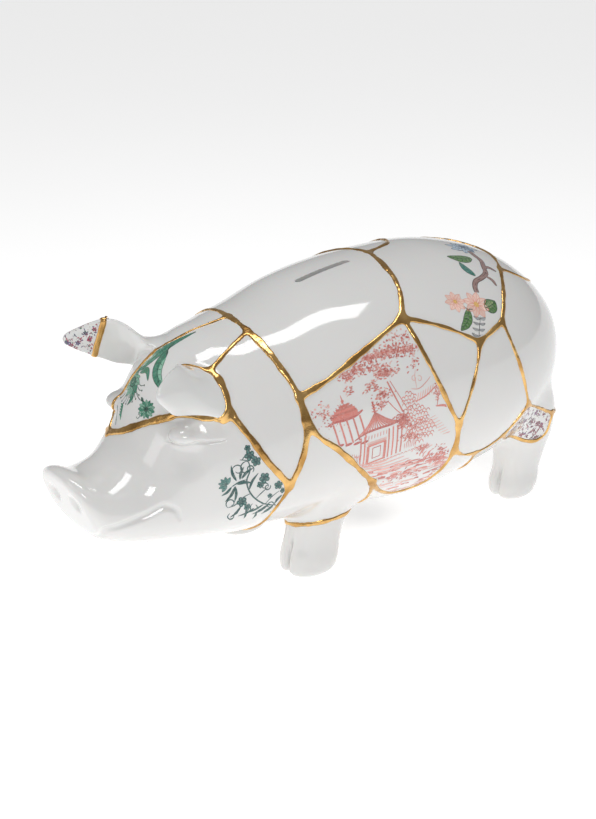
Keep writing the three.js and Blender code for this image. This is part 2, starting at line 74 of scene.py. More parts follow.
TOP = [(-197, 100), (-184, 98), (-173, 93.5), (-161, 93), (-146, 99.5), (-131, 121), (-113, 148.5),
       (-94, 160), (-72, 165), (-43, 170.5), (-10, 179), (29, 184), (67, 184.5), (106, 183.5),
       (144, 181.5), (192, 172)]
BELLY = [(-197, 58), (-184, 54.5), (-169, 50.5), (-154, 45), (-134, 41.5), (-113, 40), (-91, 36.5),
         (-67, 34.5), (-38, 34), (0, 28.5), (48, 23.5), (86, 30), (125, 36), (192, 42)]
MIDDLE = [(-197, 79), (-173, 73), (-144, 69), (-106, 75), (-67, 88), (-19, 99), (38, 103), (96, 105),
          (192, 106)]
WIDTH = [(-197, 29.5), (-184, 29.5), (-171, 32.5), (-154, 37), (-134, 44), (-115, 56), (-91, 65),
         (-62, 71), (-29, 77.5), (19, 84.5), (67, 88), (115, 86.5), (192, 82)]
FRONT_LEG = {
    "x": [(0, -35), (19, -31), (43, -24.5), (77, -17.5)],
    "y": [(0, 37.5), (77, 37)],
    "long": [(0, 17.3), (10, 18.2), (21, 17.8), (38, 18.7), (58, 23), (72, 21), (82, 11.5)],
    "wide": [(0, 16.3), (10, 17.3), (21, 16.3), (38, 17.3), (58, 20), (72, 17.3), (82, 7.7)],
    "top": 76, "blend": 11.0}
HIND_LEG = {
    "x": [(0, 146), (19, 149), (43, 150), (77, 139), (100, 132)],
    "y": [(0, 40), (43, 42), (77, 42)],
    "long": [(0, 14.5), (10, 16.5), (21, 15.8), (38, 18.5), (58, 25), (77, 29), (96, 19), (108, 9)],
    "wide": [(0, 13.5), (10, 15.5), (21, 15), (38, 17.5), (58, 24), (77, 27), (96, 17), (108, 8)],
    "top": 102, "blend": 13.0}
EAR_ROOT = np.array([-105.6, 37.3, 144.2])
LEFT_EAR_SHIFT = np.array([-4.0, -1.3, -3.6])            # it sits a little lower and further forward
EAR_AXIS = np.array([-0.908, 0.347, 0.233])
EAR_LENGTH, EAR_CUP = 48.5, 5.5
EAR_HALF = [(-8, 21.4), (0, 21.4), (17, 16), (31, 12.4), (40, 8), (45, 5), (48.5, 2.4)]
EAR_THICK = [(-8, 5.5), (0, 4.6), (15, 3.8), (34, 3), (48.5, 1.9)]
EAR_TWIST = [(-8, -56), (0, -53), (19, -21), (48.5, -16)]
EAR_BEND = [(-8, 0), (0, 0), (24, 4.5), (48.5, -1)]      # the right ear bows upwards
EAR_BAND_AT, EAR_BAND_WIDTH = 27.5, 3.8
TAIL = [(186, 0, 131), (192, -3, 125), (193.5, -9, 117), (193.2, -8, 108), (193.0, -1, 104),
        (193.2, 5, 109), (193.4, 3, 116)]
TAIL_RADIUS = 3.2


# ---------------------------------------------------------------- curves and blends
def curve(stations, at):
    """Smooth curve through given stations, level beyond its ends."""
    table = np.asarray(stations, float)
    xs, ys = table[:, 0], table[:, 1]
    at = np.clip(at, xs[0], xs[-1])
    i = np.clip(np.searchsorted(xs, at, side="right") - 1, 0, len(xs) - 2)
    step, rise = np.diff(xs), np.diff(ys)
    secant = rise / step
    slope = np.empty(len(xs))
    slope[1:-1] = (secant[:-1] * step[1:] + secant[1:] * step[:-1]) / (xs[2:] - xs[:-2])
    slope[0], slope[-1] = secant[0], secant[-1]
    t = (at - xs[i]) / step[i]
    t2, t3 = t * t, t * t * t
    return ((2 * t3 - 3 * t2 + 1) * ys[i] + (t3 - 2 * t2 + t) * slope[i] * step[i]
            + (3 * t2 - 2 * t3) * ys[i + 1] + (t3 - t2) * slope[i + 1] * step[i])


def smooth_min(a, b, blend):
    h = np.clip(0.5 + 0.5 * (b - a) / blend, 0, 1)
    return b + (a - b) * h - blend * h * (1 - h)


def smooth_max(a, b, blend):
    return -smooth_min(-a, -b, blend)


def unit(v):
    return v / np.linalg.norm(v, axis=-1, keepdims=True)


def ripple(points, size, seed):
    """Gentle repeatable unevenness between about -1 and 1, with features of the given size."""
    draw = np.random.default_rng(seed)
    total = np.zeros(len(points))
    for _ in range(5):
        direction = unit(draw.normal(size=3)) * (2 * math.pi / size) * draw.uniform(0.6, 1.5)
        total += np.sin(points @ direction + draw.uniform(0, 2 * math.pi))
    return total / 3


# ---------------------------------------------------------------- the pig as a distance-like field
def rear_cap(x):
    u = np.clip((x - REAR_START) / (REAR_END - REAR_START), 0, 0.99999)
    return (1 - u ** REAR_POWER) ** (1 / REAR_POWER)


def oval(a, b, half_a, half_b, power):
    """Distance outside an oval of those half sizes, measured from its centre."""
    r = np.sqrt(a * a + b * b) + 1e-6
    rho = ((np.abs(a) / half_a) ** power + (np.abs(b) / half_b) ** power) ** (1 / power) + 1e-9
    return r - r / rho


def trunk(x, y, z):
    cap = rear_cap(x)
    mid = curve(MIDDLE, x)
    half_height = np.where(z >= mid, curve(TOP, x) - mid, mid - curve(BELLY, x)) * cap
    d = oval(y, z - mid, curve(WIDTH, x) * cap, half_height, SQUARENESS)
    d = np.maximum(d, x - REAR_END)
    normal = unit(SNOUT_NORMAL)
    face = (x - SNOUT_FACE[0]) * normal[0] + (z - SNOUT_FACE[2]) * normal[2]
    return smooth_max(d, face, 8.0)


def leg(x, y, z, form):
    y = np.abs(y)
    dx, dy = x - curve(form["x"], z), y - curve(form["y"], z)
    d = oval(dx, dy, curve(form["long"], z), curve(form["wide"], z), 2.3)
    d = smooth_max(d, -z, 5.0)
    d = smooth_max(d, z - form["top"], 6.0)
    reach = np.sqrt(((dx + curve(form["long"], z)) / 4.2) ** 2 + (dy / 1.5) ** 2
                    + (np.clip(z - 12, 0, None) / 10) ** 2) - 1
    return smooth_max(d, -reach * 1.5, 3.0)


def ear_frame(x, y, z):
    """Place along, across and through the ear, on either side of the head."""
    axis = unit(EAR_AXIS)
    rise = unit(np.array([0, 0, 1.0]) - axis[2] * axis)
    out = np.cross(rise, axis)
    p = np.stack([x, np.abs(y), z], -1) - EAR_ROOT
    p = p - np.where(y < 0, 1.0, 0.0)[..., None] * LEFT_EAR_SHIFT
    along = p @ axis
    up, outward = p @ rise, p @ out
    twist = np.radians(curve(EAR_TWIST, along))
    across = up * np.cos(twist) - outward * np.sin(twist)
    through = up * np.sin(twist) + outward * np.cos(twist)
    return along, across, through


def ear(x, y, z):
    along, across, through = ear_frame(x, y, z)
    across = across - np.where(y > 0, curve(EAR_BEND, along), 0)
    through = through - (across / 20) ** 2 * EAR_CUP + 1.5
    d = oval(across, through, curve(EAR_HALF, along), curve(EAR_THICK, along), 2.2)
    d = smooth_max(d, along - EAR_LENGTH, 3.0)
    return smooth_max(d, -along - 12, 3.0)


def line_distance(points, line, radii=None):
    """Distance to an open line of points, less a radius that may vary along it."""
    best = np.full(len(points), 1e9)
    radii = np.zeros(len(line)) if radii is None else radii
    for a, b, ra, rb in zip(line[:-1], line[1:], radii[:-1], radii[1:]):
        ab = b - a
        t = np.clip(((points - a) @ ab) / (ab @ ab + 1e-12), 0, 1)
        gap = np.linalg.norm(points - a - t[:, None] * ab, axis=1) - (ra + (rb - ra) * t)
        np.minimum(best, gap, out=best)
    return best


def near(points, line, margin):
    return np.all((points > line.min(0) - margin) & (points < line.max(0) + margin), axis=1)


# Fine features of the face, on the left side and mirrored to the right.
MOUTH = [(-175, 12, 55), (-177.5, 24, 61), (-177, 30, 67), (-168, 33.3, 69), (-154, 37.3, 72.5),
         (-141, 41.5, 76), (-136, 43.6, 72.5), (-134.5, 44, 67)]
EYE_CREASE = [(-132.5, 28, 111), (-127, 36, 111.6), (-121, 43, 112.3), (-115, 48.5, 113), (-107.5, 54, 114)]
NOSTRIL = [(-187.5, 10.5, 82), (-187, 11.5, 79), (-186, 11.5, 76)]
LID_CENTRE, LID_SIZE = np.array([-122.0, 34.5, 115.0]), np.array([10.5, 9.5, 5.5])
BROW_CENTRE, BROW_SIZE = np.array([-124.0, 61.0, 125.0]), np.array([18.0, 14.0, 11.0])
SOCKET_CENTRE, SOCKET_SIZE = np.array([-137.0, 46.0, 106.0]), np.array([13.0, 10.0, 10.0])
FINE_STEP = 1.5


def smooth_track(points):
    """Evenly spaced points on a smooth curve through a few given ones."""
    points = np.array(points, float)
    place = np.concatenate([[0], np.cumsum(np.linalg.norm(np.diff(points, axis=0), axis=1))])
    at = np.linspace(0, place[-1], int(place[-1] / FINE_STEP) + 2)
    return np.stack([curve(np.stack([place, points[:, k]], 1), at) for k in range(points.shape[1])], 1)


def egg(points, centre, size):
    """Roughly the distance from an egg shape."""
    return (np.linalg.norm((points - centre) / size, axis=1) - 1) * size.min()


def earless(points):
    x, y, z = points.T
    d = trunk(x, y, z)
    for form in (FRONT_LEG, HIND_LEG):
        d = smooth_min(d, leg(x, y, z, form), form["blend"])
    return d


def plain_pig(points):
    """The skin without the creases of the face. Negative inside."""
    x, y, z = points.T
    d = smooth_min(earless(points), ear(x, y, z), 6.0)
    mirrored = np.stack([x, np.abs(y), z], -1)
    here = near(mirrored, LID_CENTRE[None], 34)
    if here.any():
        p = mirrored[here]
        part = smooth_max(d[here], -egg(p, BROW_CENTRE, BROW_SIZE), 9.0)
        part = smooth_max(part, -egg(p, SOCKET_CENTRE, SOCKET_SIZE), 9.0)
        d[here] = smooth_min(part, egg(p, LID_CENTRE, LID_SIZE), 4.5)
    tail = np.array(TAIL, float)
    here = near(points, tail, 12)
    if here.any():
        taper = TAIL_RADIUS * np.linspace(1.15, 0.75, len(tail))
        d[here] = smooth_min(d[here], line_distance(points[here], tail, taper), 2.5)
    return d


CORNERS = np.array([(1, -1, -1), (-1, -1, 1), (-1, 1, -1), (1, 1, 1)], float)


def gradient(field, points, step=0.08):
    total = np.zeros_like(points)
    for corner in CORNERS:
        total += corner * field(points + corner * step)[:, None]
    return total / (4 * step)


def onto(field, points, rounds=3):
    """Moves points to the zero level of a field."""
    for _ in range(rounds):
        slope = gradient(field, points)
        steep = np.maximum((slope * slope).sum(1), 0.05)
        points = points - slope * np.clip(field(points) / steep, -4, 4)[:, None]
    return points


def crease(points, depth, width):
    """A groove along a line laid on the skin: its track, and a radius that fades at both ends."""
    track = onto(plain_pig, smooth_track(points), 5)
    normals = unit(gradient(plain_pig, track, 0.5))
    fade = np.sin(np.linspace(0, math.pi, len(track))) ** 0.4
    radius = np.maximum(width * fade, 0.05)
    return track + normals * (radius - depth * fade)[:, None], radius


CREASES = [(*crease(MOUTH, 1.3, 1.8), 2.4), (*crease(EYE_CREASE, 0.9, 0.9), 1.1),
           (*crease(NOSTRIL, 1.7, 4.2), 3.5)]


def pig(points):
    """The whole skin. Negative inside."""
    d = plain_pig(points)
    mirrored = np.stack([points[:, 0], np.abs(points[:, 1]), points[:, 2]], -1)
    for track, radius, softness in CREASES:
        here = near(mirrored, track, 9)
        if here.any():
            groove = line_distance(mirrored[here], track, radius)
            d[here] = smooth_max(d[here], -groove, softness)
    return d


def onto_skin(points, rounds=3):
    return onto(pig, points, rounds)


def skin_normals(points):
    return unit(gradient(pig, points, 0.15))


# ---------------------------------------------------------------- meshing
def surface_net(field, low, high, size):
    """Closed triangle mesh of the field's zero level on a grid."""
    counts = np.ceil((np.array(high) - low) / size).astype(int) + 1
    axes = [low[k] + size * np.arange(counts[k]) for k in range(3)]
    values = np.empty(counts, np.float32)
    for start in range(0, counts[0], 24):
        block = np.stack(np.meshgrid(axes[0][start:start + 24], axes[1], axes[2], indexing="ij"), -1)
        values[start:start + 24] = field(block.reshape(-1, 3)).reshape(block.shape[:3])
    inside = values < 0
    cells = np.zeros(counts - 1, int)
    corners = [(a, b, c) for a in (0, 1) for b in (0, 1) for c in (0, 1)]
    for a, b, c in corners:
        cells += inside[a:counts[0] - 1 + a, b:counts[1] - 1 + b, c:counts[2] - 1 + c]
    active = np.argwhere((cells > 0) & (cells < 8))
    index = np.full(cells.shape, -1)
    index[tuple(active.T)] = np.arange(len(active))
    total, count = np.zeros((len(active), 3)), np.zeros(len(active))
    for corner in corners:
        for axis in range(3):
            if corner[axis] == 1:
                continue
            other = list(corner)
            other[axis] = 1
            v0 = values[tuple((active + corner).T)]
            v1 = values[tuple((active + other).T)]
            crossing = (v0 < 0) != (v1 < 0)
            at = np.tile(np.array(corner, float), (len(active), 1))
            at[:, axis] += np.where(crossing, v0 / (v0 - v1 + 1e-12), 0)
            total[crossing] += at[crossing]
            count[crossing] += 1
    vertices = np.array(low) + size * (active + total / count[:, None])
    quads = []
    for axis in range(3):
        others = [k for k in range(3) if k != axis]
        here = tuple(slice(1, -1) if k in others else slice(0, -1) for k in range(3))
        ahead = tuple(slice(1, -1) if k in others else slice(1, None) for k in range(3))
        edges = np.argwhere(inside[here] != inside[ahead])
        edges[:, others] += 1
        ring = []
        for da, db in ((1, 1), (0, 1), (0, 0), (1, 0)):
            cell = edges.copy()
            cell[:, others[0]] -= da
            cell[:, others[1]] -= db
            ring.append(index[tuple(cell.T)])
        quad = np.stack(ring, 1)
        starts_inside = inside[tuple(edges.T)]
        flip = starts_inside if axis == 1 else ~starts_inside
        quad[flip] = quad[flip][:, ::-1]
        quads.append(quad)
    quads = np.concatenate(quads)
    return vertices, np.concatenate([quads[:, [0, 1, 2]], quads[:, [0, 2, 3]]])


def edges_of(faces):
    """Every edge once, and for each face the numbers of its edges ab, bc and ca."""
    pairs = np.sort(np.concatenate([faces[:, [0, 1]], faces[:, [1, 2]], faces[:, [2, 0]]]), axis=1)
    edges, numbers = np.unique(pairs, axis=0, return_inverse=True)
    return edges, numbers.reshape(3, len(faces)).T


def split_faces(faces, middle):
    """Splits faces at their edges' middle vertices, where middle isn't -1."""
    parts = [faces[(middle < 0).all(1)]]
    for k in range(3):
        f, m = np.roll(faces, -k, 1), np.roll(middle, -k, 1)
        a, b, c = f.T
        one = (m[:, 0] >= 0) & (m[:, 1] < 0) & (m[:, 2] < 0)
        parts += [np.stack([a, m[:, 0], c], 1)[one], np.stack([m[:, 0], b, c], 1)[one]]
        two = (m[:, 0] >= 0) & (m[:, 1] >= 0) & (m[:, 2] < 0)
        parts += [np.stack([m[:, 0], b, m[:, 1]], 1)[two], np.stack([a, m[:, 0], m[:, 1]], 1)[two],
                  np.stack([a, m[:, 1], c], 1)[two]]
    every = (middle >= 0).all(1)
    (a, b, c), (ab, bc, ca) = faces[every].T, middle[every].T
    parts += [np.stack(t, 1) for t in ((a, ab, ca), (ab, b, bc), (ca, bc, c), (ab, bc, ca))]
    return np.concatenate(parts)


def refine(vertices, faces, marked):
    """Halves the edges of the marked faces and puts the new vertices on the skin."""
    edges, numbers = edges_of(faces)
    chosen = np.zeros(len(edges), bool)
    chosen[numbers[marked]] = True
    new_index = np.full(len(edges), -1)
    new_index[chosen] = len(vertices) + np.arange(chosen.sum())
    middles = onto_skin(vertices[edges[chosen]].mean(1), 2)
    return np.concatenate([vertices, middles]), split_faces(faces, new_index[numbers])


def cut(vertices, faces, level):
    """Cuts the mesh where level is zero. Returns the vertices and the faces above and below."""
    level = np.where(np.abs(level) < 1e-4, 1e-4, level)
    edges, numbers = edges_of(faces)
    a, b = level[edges].T
    chosen = (a < 0) != (b < 0)
    t = (a / (a - b + 1e-30))[chosen, None]
    crossings = vertices[edges[chosen, 0]] * (1 - t) + vertices[edges[chosen, 1]] * t
    new_index = np.full(len(edges), -1)
    new_index[chosen] = len(vertices) + np.arange(chosen.sum())
    faces = split_faces(faces, new_index[numbers])
    level = np.concatenate([level, np.zeros(len(crossings))])
    above = level[faces].sum(1) > 0
    return np.concatenate([vertices, crossings]), faces[above], faces[~above], level


def patches(count, faces):
    """A label for each vertex that is the same on all of one connected patch."""
    labels = np.arange(count)
    while True:
        lowest = labels[faces].min(1)
        before = labels.copy()
        np.minimum.at(labels, faces.ravel(), np.repeat(lowest, 3))
        labels = labels[labels]
        if np.array_equal(labels, before):
            return labels


# ---------------------------------------------------------------- seams
# Lines of (x, phi) on the body: phi is 0 on the back, 90 on the left side and -90 on the right.
SEAMS = [
    (4.2, [(-66, 0), (-67, 16), (-65, 34), (-60, 57), (-59, 68), (-61, 78), (-66, 88), (-72, 96)]),
    (2.0, [(-72, 96), (-80, 108), (-83, 130), (-86, 155), (-88, 180)]),
    (3.2, [(-66, 0), (-62, -19), (-58, -46), (-61, -75), (-69, -100), (-78, -130), (-88, -180)]),
    (1.8, [(-66, 0), (-87, -2), (-103, -6), (-114, -14), (-122, -26), (-129, -36), (-140, -36)]),
    (4.6, [(-140, -36), (-140, -18), (-137, 0), (-130, 18), (-121, 30), (-111, 40), (-101, 44)]),
    (2.6, [(-67, 16), (-85, 20), (-101, 23)]),
    (1.5, [(-101, 23), (-101, 33), (-101, 44)]),
    (4.0, [(-101, 44), (-95, 57), (-85, 77), (-72, 96)]),
    (3.0, [(-140, -36), (-130, -60), (-115, -82), (-95, -95), (-69, -100)]),
    (3.6, [(22, 45), (33, 32), (42, 12), (48, -2)]),
    (3.0, [(48, -2), (45, -22), (36, -44)]),
    (3.0, [(48, -2), (74, -10), (86, -28), (88, -50)]),
    (2.8, [(22, 45), (46, 54), (70, 65)]),
    (3.0, [(70, 65), (94, 60)]),
    (3.0, [(94, 60), (110, 46), (124, 33)]),
    (2.6, [(124, 33), (134, 20), (137, 5), (130, -12), (112, -32), (88, -50)]),
    (2.2, [(124, 33), (150, 38), (168, 30), (174, 0), (166, -36), (140, -75)]),
    (2.8, [(88, -50), (112, -62), (140, -75)]),
    (2.4, [(70, 65), (58, 82), (48, 97)]),
    (3.0, [(22, 45), (27, 64), (37, 83), (48, 97)]),
    (4.0, [(48, 97), (49, 110)]),
    (2.6, [(94, 60), (97, 70), (103, 82), (110, 94), (116, 102)]),
    (2.2, [(116, 102), (133, 110), (150, 119)]),
    (3.0, [(116, 102), (109, 106), (97, 114)]),
    (2.6, [(150, 119), (145, 127), (131, 131), (113, 125), (97, 114)]),
    (2.2, [(97, 114), (85, 117), (73, 118)]),
    (2.2, [(73, 118), (60, 115), (49, 110)]),
    (2.0, [(73, 118), (80, 142)]),
    (2.2, [(80, 142), (104, 158), (130, 164), (152, 158), (168, 140), (162, 126), (150, 119)]),
    (2.4, [(80, 142), (83, 162), (84, 180)]),
    (3.6, [(22, 45), (-12, 52), (-36, 56), (-60, 57)]),
    (3.6, [(-59, 68), (-54, 76), (-39, 90), (-24, 104), (-10, 116)]),
    (2.8, [(-10, 116), (4, 128), (18, 134), (34, 131), (44, 122), (49, 110)]),
    (2.6, [(-10, 116), (-2, 135), (0, 158), (0, 180)]),
    (2.4, [(-88, 180), (-60, 180), (-30, 180), (0, 180)]),
    (3.0, [(-58, -46), (-22, -54), (12, -50), (36, -44)]),
    (2.6, [(36, -44), (62, -52), (88, -50)]),
    (3.0, [(36, -44), (38, -68), (34, -92)]),
    (3.0, [(-61, -75), (-42, -92), (-22, -106)]),
    (2.6, [(-22, -106), (6, -102), (34, -92)]),
    (2.8, [(34, -92), (62, -104), (90, -100)]),
    (2.8, [(88, -50), (97, -76), (90, -100)]),
    (2.6, [(140, -75), (118, -92), (90, -100)]),
    (2.6, [(-22, -106), (-4, -128), (0, -155), (0, -180)]),
    (2.6, [(90, -100), (78, -120), (76, -150), (84, -180)]),
    (2.4, [(168, 140), (178, 162), (180, 180)]),
    (2.4, [(180, -180), (174, -145), (160, -105), (140, -75)]),
]
ANKLES = [  # leg, side, height, width, slope along x and y
    ("front_left_ankle", FRONT_LEG, -1, 33.6, 2.8, (0.0, -0.28)),
    ("front_right_ankle", FRONT_LEG, 1, 26.0, 2.8, (-0.12, 0.1)),
    ("hind_right_ankle", HIND_LEG, 1, 29.0, 2.8, (0.12, 0.08)),
]
SEAM_STEP = 1.6


def body_point(x, phi):
    """Point of the trunk at station x and angle phi in degrees."""
    x, phi = np.asarray(x, float), np.radians(phi)
    across, up = -np.sin(phi), np.cos(phi)
    cap, mid = rear_cap(x), curve(MIDDLE, x)
    height = np.where(up >= 0, curve(TOP, x) - mid, mid - curve(BELLY, x)) * cap
    width = curve(WIDTH, x) * cap
    spread = (np.abs(across) / width) ** SQUARENESS + (np.abs(up) / height) ** SQUARENESS
    reach = spread ** (-1 / SQUARENESS)
    return np.stack([x, across * reach, mid + up * reach], -1)


def body_normal(x, phi):
    along = body_point(np.minimum(x + 0.5, REAR_END - 0.5), phi) - body_point(x - 0.5, phi)
    around = body_point(x, phi + 0.5) - body_point(x, phi - 0.5)
    return -unit(np.cross(along, around))


def out_to_skin(points, normals, reach=30.0):
    """Moves points of the trunk along their normals to the outermost skin, such as that of a leg."""
    far = np.zeros(len(points))
    for t in np.arange(0.0, reach, 1.0):
        far = np.where(earless(points + normals * t) < 0, t, far)
    return onto_skin(points + normals * far[:, None], 3)


def seam_line(track):
    """A dense line on the skin along a smooth curve through the seam's points."""
    track = np.array(track, float)
    rough = body_point(track[:, 0], track[:, 1])
    place = np.concatenate([[0], np.cumsum(np.linalg.norm(np.diff(rough, axis=0), axis=1))])
    at = np.linspace(0, place[-1], max(int(place[-1] / SEAM_STEP), 3))
    x = curve(np.stack([place, track[:, 0]], 1), at)
    phi = curve(np.stack([place, track[:, 1]], 1), at)
    return out_to_skin(body_point(x, phi), body_normal(x, phi)), at


def seam_parts():
    """For each seam its line on the skin and its half width there, a little uneven like brushwork."""
    parts = []
    for number, (width, track) in enumerate(SEAMS):
        line, at = seam_line(track)
        draw = np.random.default_rng(100 + number)
        wave = sum(np.sin(at * 2 * math.pi / draw.uniform(14, 60) + draw.uniform(0, 6)) for _ in range(3))
        parts.append((line, width / 2 * (1 + 0.11 * wave)))
    return parts


def ankle_frame(points, form, side, height, slope):
    """Points measured from an ankle's centre, and the direction across its tilted ring."""
    centre = np.array([curve(form["x"], height), side * curve(form["y"], height), height])
    return points - centre, unit(np.array([-slope[0], -slope[1], 1.0]))


def gold_level(points, parts):
    """Negative on the gold, positive on the porcelain, in millimetres from the edge."""
    total = np.zeros(len(points))
    for line, half in parts:
        here = np.flatnonzero(near(points, line, 12))
        for start in range(0, len(here), 40000):
            some = here[start:start + 40000]
            total[some] += np.exp(-line_distance(points[some], line, half) / WEB)
    for _, form, side, height, width, slope in ANKLES:
        offset, tilt = ankle_frame(points, form, side, height, slope)
        here = (np.abs(offset[:, 0]) < 27) & (np.abs(offset[:, 1]) < 23) & (np.abs(offset[:, 2]) < 14)
        total[here] += np.exp(-(np.abs(offset[here] @ tilt) - width / 2) / WEB)
    x, y, z = points.T
    here = near(np.stack([x, np.abs(y), z], -1), EAR_ROOT[None], 75) & (x < -68)
    xe, ye, ze = points[here].T
    along = ear_frame(xe, ye, ze)[0]
    blade, head = ear(xe, ye, ze), trunk(xe, ye, ze)
    band = np.abs(along - EAR_BAND_AT) - EAR_BAND_WIDTH / 2
    total[here] += np.where((ye > 0) & (blade < 3), np.exp(-band / WEB), 0)
    crease = np.abs(blade - head) / 1.25 - 0.9
    total[here] += np.where((ye < 0) & (blade < 9), np.exp(-crease / WEB), 0)
    uneven = 0.22 * ripple(points, 11, 3) + 0.12 * ripple(points, 4.2, 4)
    return -WEB * np.log(total + 1e-9) + uneven * (total > 1e-3)


SHARD_SEEDS = {
    "face": (-160, 60), "forehead": (-90, 8), "left_neck": (-80, 45), "right_temple": (-85, -50),
    "saddle": (-30, 10), "left_flank": (0, 80), "left_shoulder": (-50, 110), "rump_top": (90, 15),
    "left_flank_wedge": (45, 72), "left_hip": (75, 90), "rear": (150, 75), "hind_left_patch": (128, 115),
    "rump_cap": (150, -5), "belly": (30, 150), "right_shoulder": (-50, -110), "right_flank": (-20, -75),
    "right_loin": (70, -38), "right_haunch": (60, -78), "right_rump": (112, -78),
    "hind_right_quarter": (100, -130),
}


def leg_side(form, side, z):
    return np.array([curve(form["x"], z) + curve(form["long"], z), side * curve(form["y"], z), z], float)


def shard_seeds():
    seeds = {}
    for name, (x, phi) in SHARD_SEEDS.items():
        seeds[name] = out_to_skin(body_point([x], [phi]), body_normal(np.array([x], float), phi))[0]
    tip = EAR_ROOT + unit(EAR_AXIS) * 38
    seeds["right_ear_tip"] = tip
    seeds["left_ear"] = (tip + LEFT_EAR_SHIFT) * np.array([1, -1, 1])
    seeds["front_left_foot"] = leg_side(FRONT_LEG, -1, 15)
    seeds["front_right_foot"] = leg_side(FRONT_LEG, 1, 12)
    seeds["hind_left_leg"] = leg_side(HIND_LEG, -1, 20)
    seeds["hind_right_foot"] = leg_side(HIND_LEG, 1, 15)
    return seeds


# ---------------------------------------------------------------- Blender meshes
def make_object(name, vertices, faces, loop_normals, material, body="pig", slot="porcelain"):
    mesh = bpy.data.meshes.new(name)
    mesh.vertices.add(len(vertices))
    mesh.vertices.foreach_set("co", (vertices * MM).astype(np.float32).ravel())
    mesh.loops.add(faces.size)
    mesh.loops.foreach_set("vertex_index", faces.astype(np.int32).ravel())
    mesh.polygons.add(len(faces))
    mesh.polygons.foreach_set("loop_start", np.arange(0, faces.size, 3, dtype=np.int32))
    mesh.polygons.foreach_set("use_smooth", np.ones(len(faces), bool))
    mesh.update(calc_edges=True)
    if loop_normals is not None:
        mesh.normals_split_custom_set(loop_normals.reshape(-1, 3).tolist())
    mesh.materials.append(material)
    made = bpy.data.objects.new(name, mesh)
    bpy.context.collection.objects.link(made)
    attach(made, body)
    return made


def compact(vertices, faces, *others):
    used = np.unique(faces)
    place = np.full(len(vertices), -1)
    place[used] = np.arange(len(used))
    return (vertices[used], place[faces]) + tuple(o[used] for o in others)


def walled(outer, normals, faces, inner):
    """Closes a patch of skin with an inner face and side walls. Returns vertices, faces, loop normals."""
    count = len(outer)
    loops = np.concatenate([faces[:, [0, 1]], faces[:, [1, 2]], faces[:, [2, 0]]])
    keys = loops[:, 0] * count + loops[:, 1]
    border = loops[~np.isin(keys, loops[:, 1] * count + loops[:, 0])]
    a, b = border.T
    sides = np.concatenate([np.stack([b, a, a + count], 1), np.stack([b, a + count, b + count], 1)])
    vertices = np.concatenate([outer, inner])
    across = unit(np.cross(outer[b] - outer[a], normals[a]) + 1e-9)
    side_normals = np.repeat(np.concatenate([across, across])[:, None], 3, 1)
    loop_normals = np.concatenate([normals[faces], -normals[faces[:, ::-1]], side_normals])
    return vertices, np.concatenate([faces, faces[:, ::-1] + count, sides]), loop_normals


def vertex_normals(vertices, faces):
    a, b, c = (vertices[faces[:, k]] for k in range(3))
    face_normals = np.cross(b - a, c - a)
    total = np.zeros_like(vertices)
    for k in range(3):
        np.add.at(total, faces[:, k], face_normals)
    return unit(total + 1e-12)


# ---------------------------------------------------------------- materials
class Nodes:
    """Short calls for building one material's nodes."""

    def __init__(self, name):
        self.material = bpy.data.materials.new(name)
        self.material.use_nodes = True
        self.tree = self.material.node_tree
        self.shader = self.tree.nodes["Principled BSDF"]

    def set(self, **values):
        for name, value in values.items():
            self.shader.inputs[name.replace("_", " ")].default_value = value
        return self

    def add(self, kind, **inputs):
        node = self.tree.nodes.new(kind)
        for name, value in inputs.items():
            socket = node.inputs[name.replace("_", " ")]
            if isinstance(value, bpy.types.NodeSocket):
                self.tree.links.new(value, socket)
            else:
                socket.default_value = value
        return node

    def link(self, output, name):
        self.tree.links.new(output, self.shader.inputs[name])

    def noise(self, scale, detail=3.0, rough=0.5):
        where = self.add("ShaderNodeTexCoord").outputs["Object"]
        return self.add("ShaderNodeTexNoise", Vector=where, Scale=scale, Detail=detail,
                        Roughness=rough).outputs["Fac"]

    def spread(self, value, low, high, start=0.0, end=1.0):
        node = self.add("ShaderNodeMapRange", Value=value)
        for name, number in (("From Min", start), ("From Max", end), ("To Min", low), ("To Max", high)):
            node.inputs[name].default_value = number
        return node.outputs["Result"]

    def blend(self, factor, low, high):
        node = self.add("ShaderNodeMix")
        node.data_type = "RGBA"
        self.tree.links.new(factor, node.inputs[0])
        node.inputs[6].default_value = (*low, 1)
        node.inputs[7].default_value = (*high, 1)
        return node.outputs[2]

    def bump(self, height, strength, distance):
        node = self.add("ShaderNodeBump", Height=height, Strength=strength, Distance=distance)
        self.link(node.outputs["Normal"], "Normal")


def porcelain_material():
    """Warm white body under a clear glossy glaze, a little uneven in tone, gloss and surface."""
    m = Nodes("glazed_porcelain").set(IOR=1.52, Coat_Weight=0.35, Coat_Roughness=0.02, Coat_IOR=1.5)
    m.set(Subsurface_Weight=0.06, Subsurface_Scale=0.004)
    m.link(m.blend(m.noise(16, 2), (0.79, 0.785, 0.77), (0.83, 0.825, 0.815)), "Base Color")
    m.link(m.spread(m.noise(60, 4), 0.05, 0.11), "Roughness")
    m.bump(m.noise(24, 2), 0.05, 0.002)
    return m.material


def gold_material():
    """Burnished gold lustre: brighter and darker patches, with a hammered, brushed-on surface."""
    m = Nodes("gold_lustre").set(Metallic=1.0)
    m.link(m.blend(m.spread(m.noise(70, 3), 0, 1, 0.35, 0.65), (0.48, 0.26, 0.08), (0.84, 0.53, 0.20)),
           "Base Color")
    m.link(m.spread(m.noise(190, 4), 0.12, 0.32), "Roughness")
    m.bump(m.noise(260, 3), 0.22, 0.001)
    return m.material


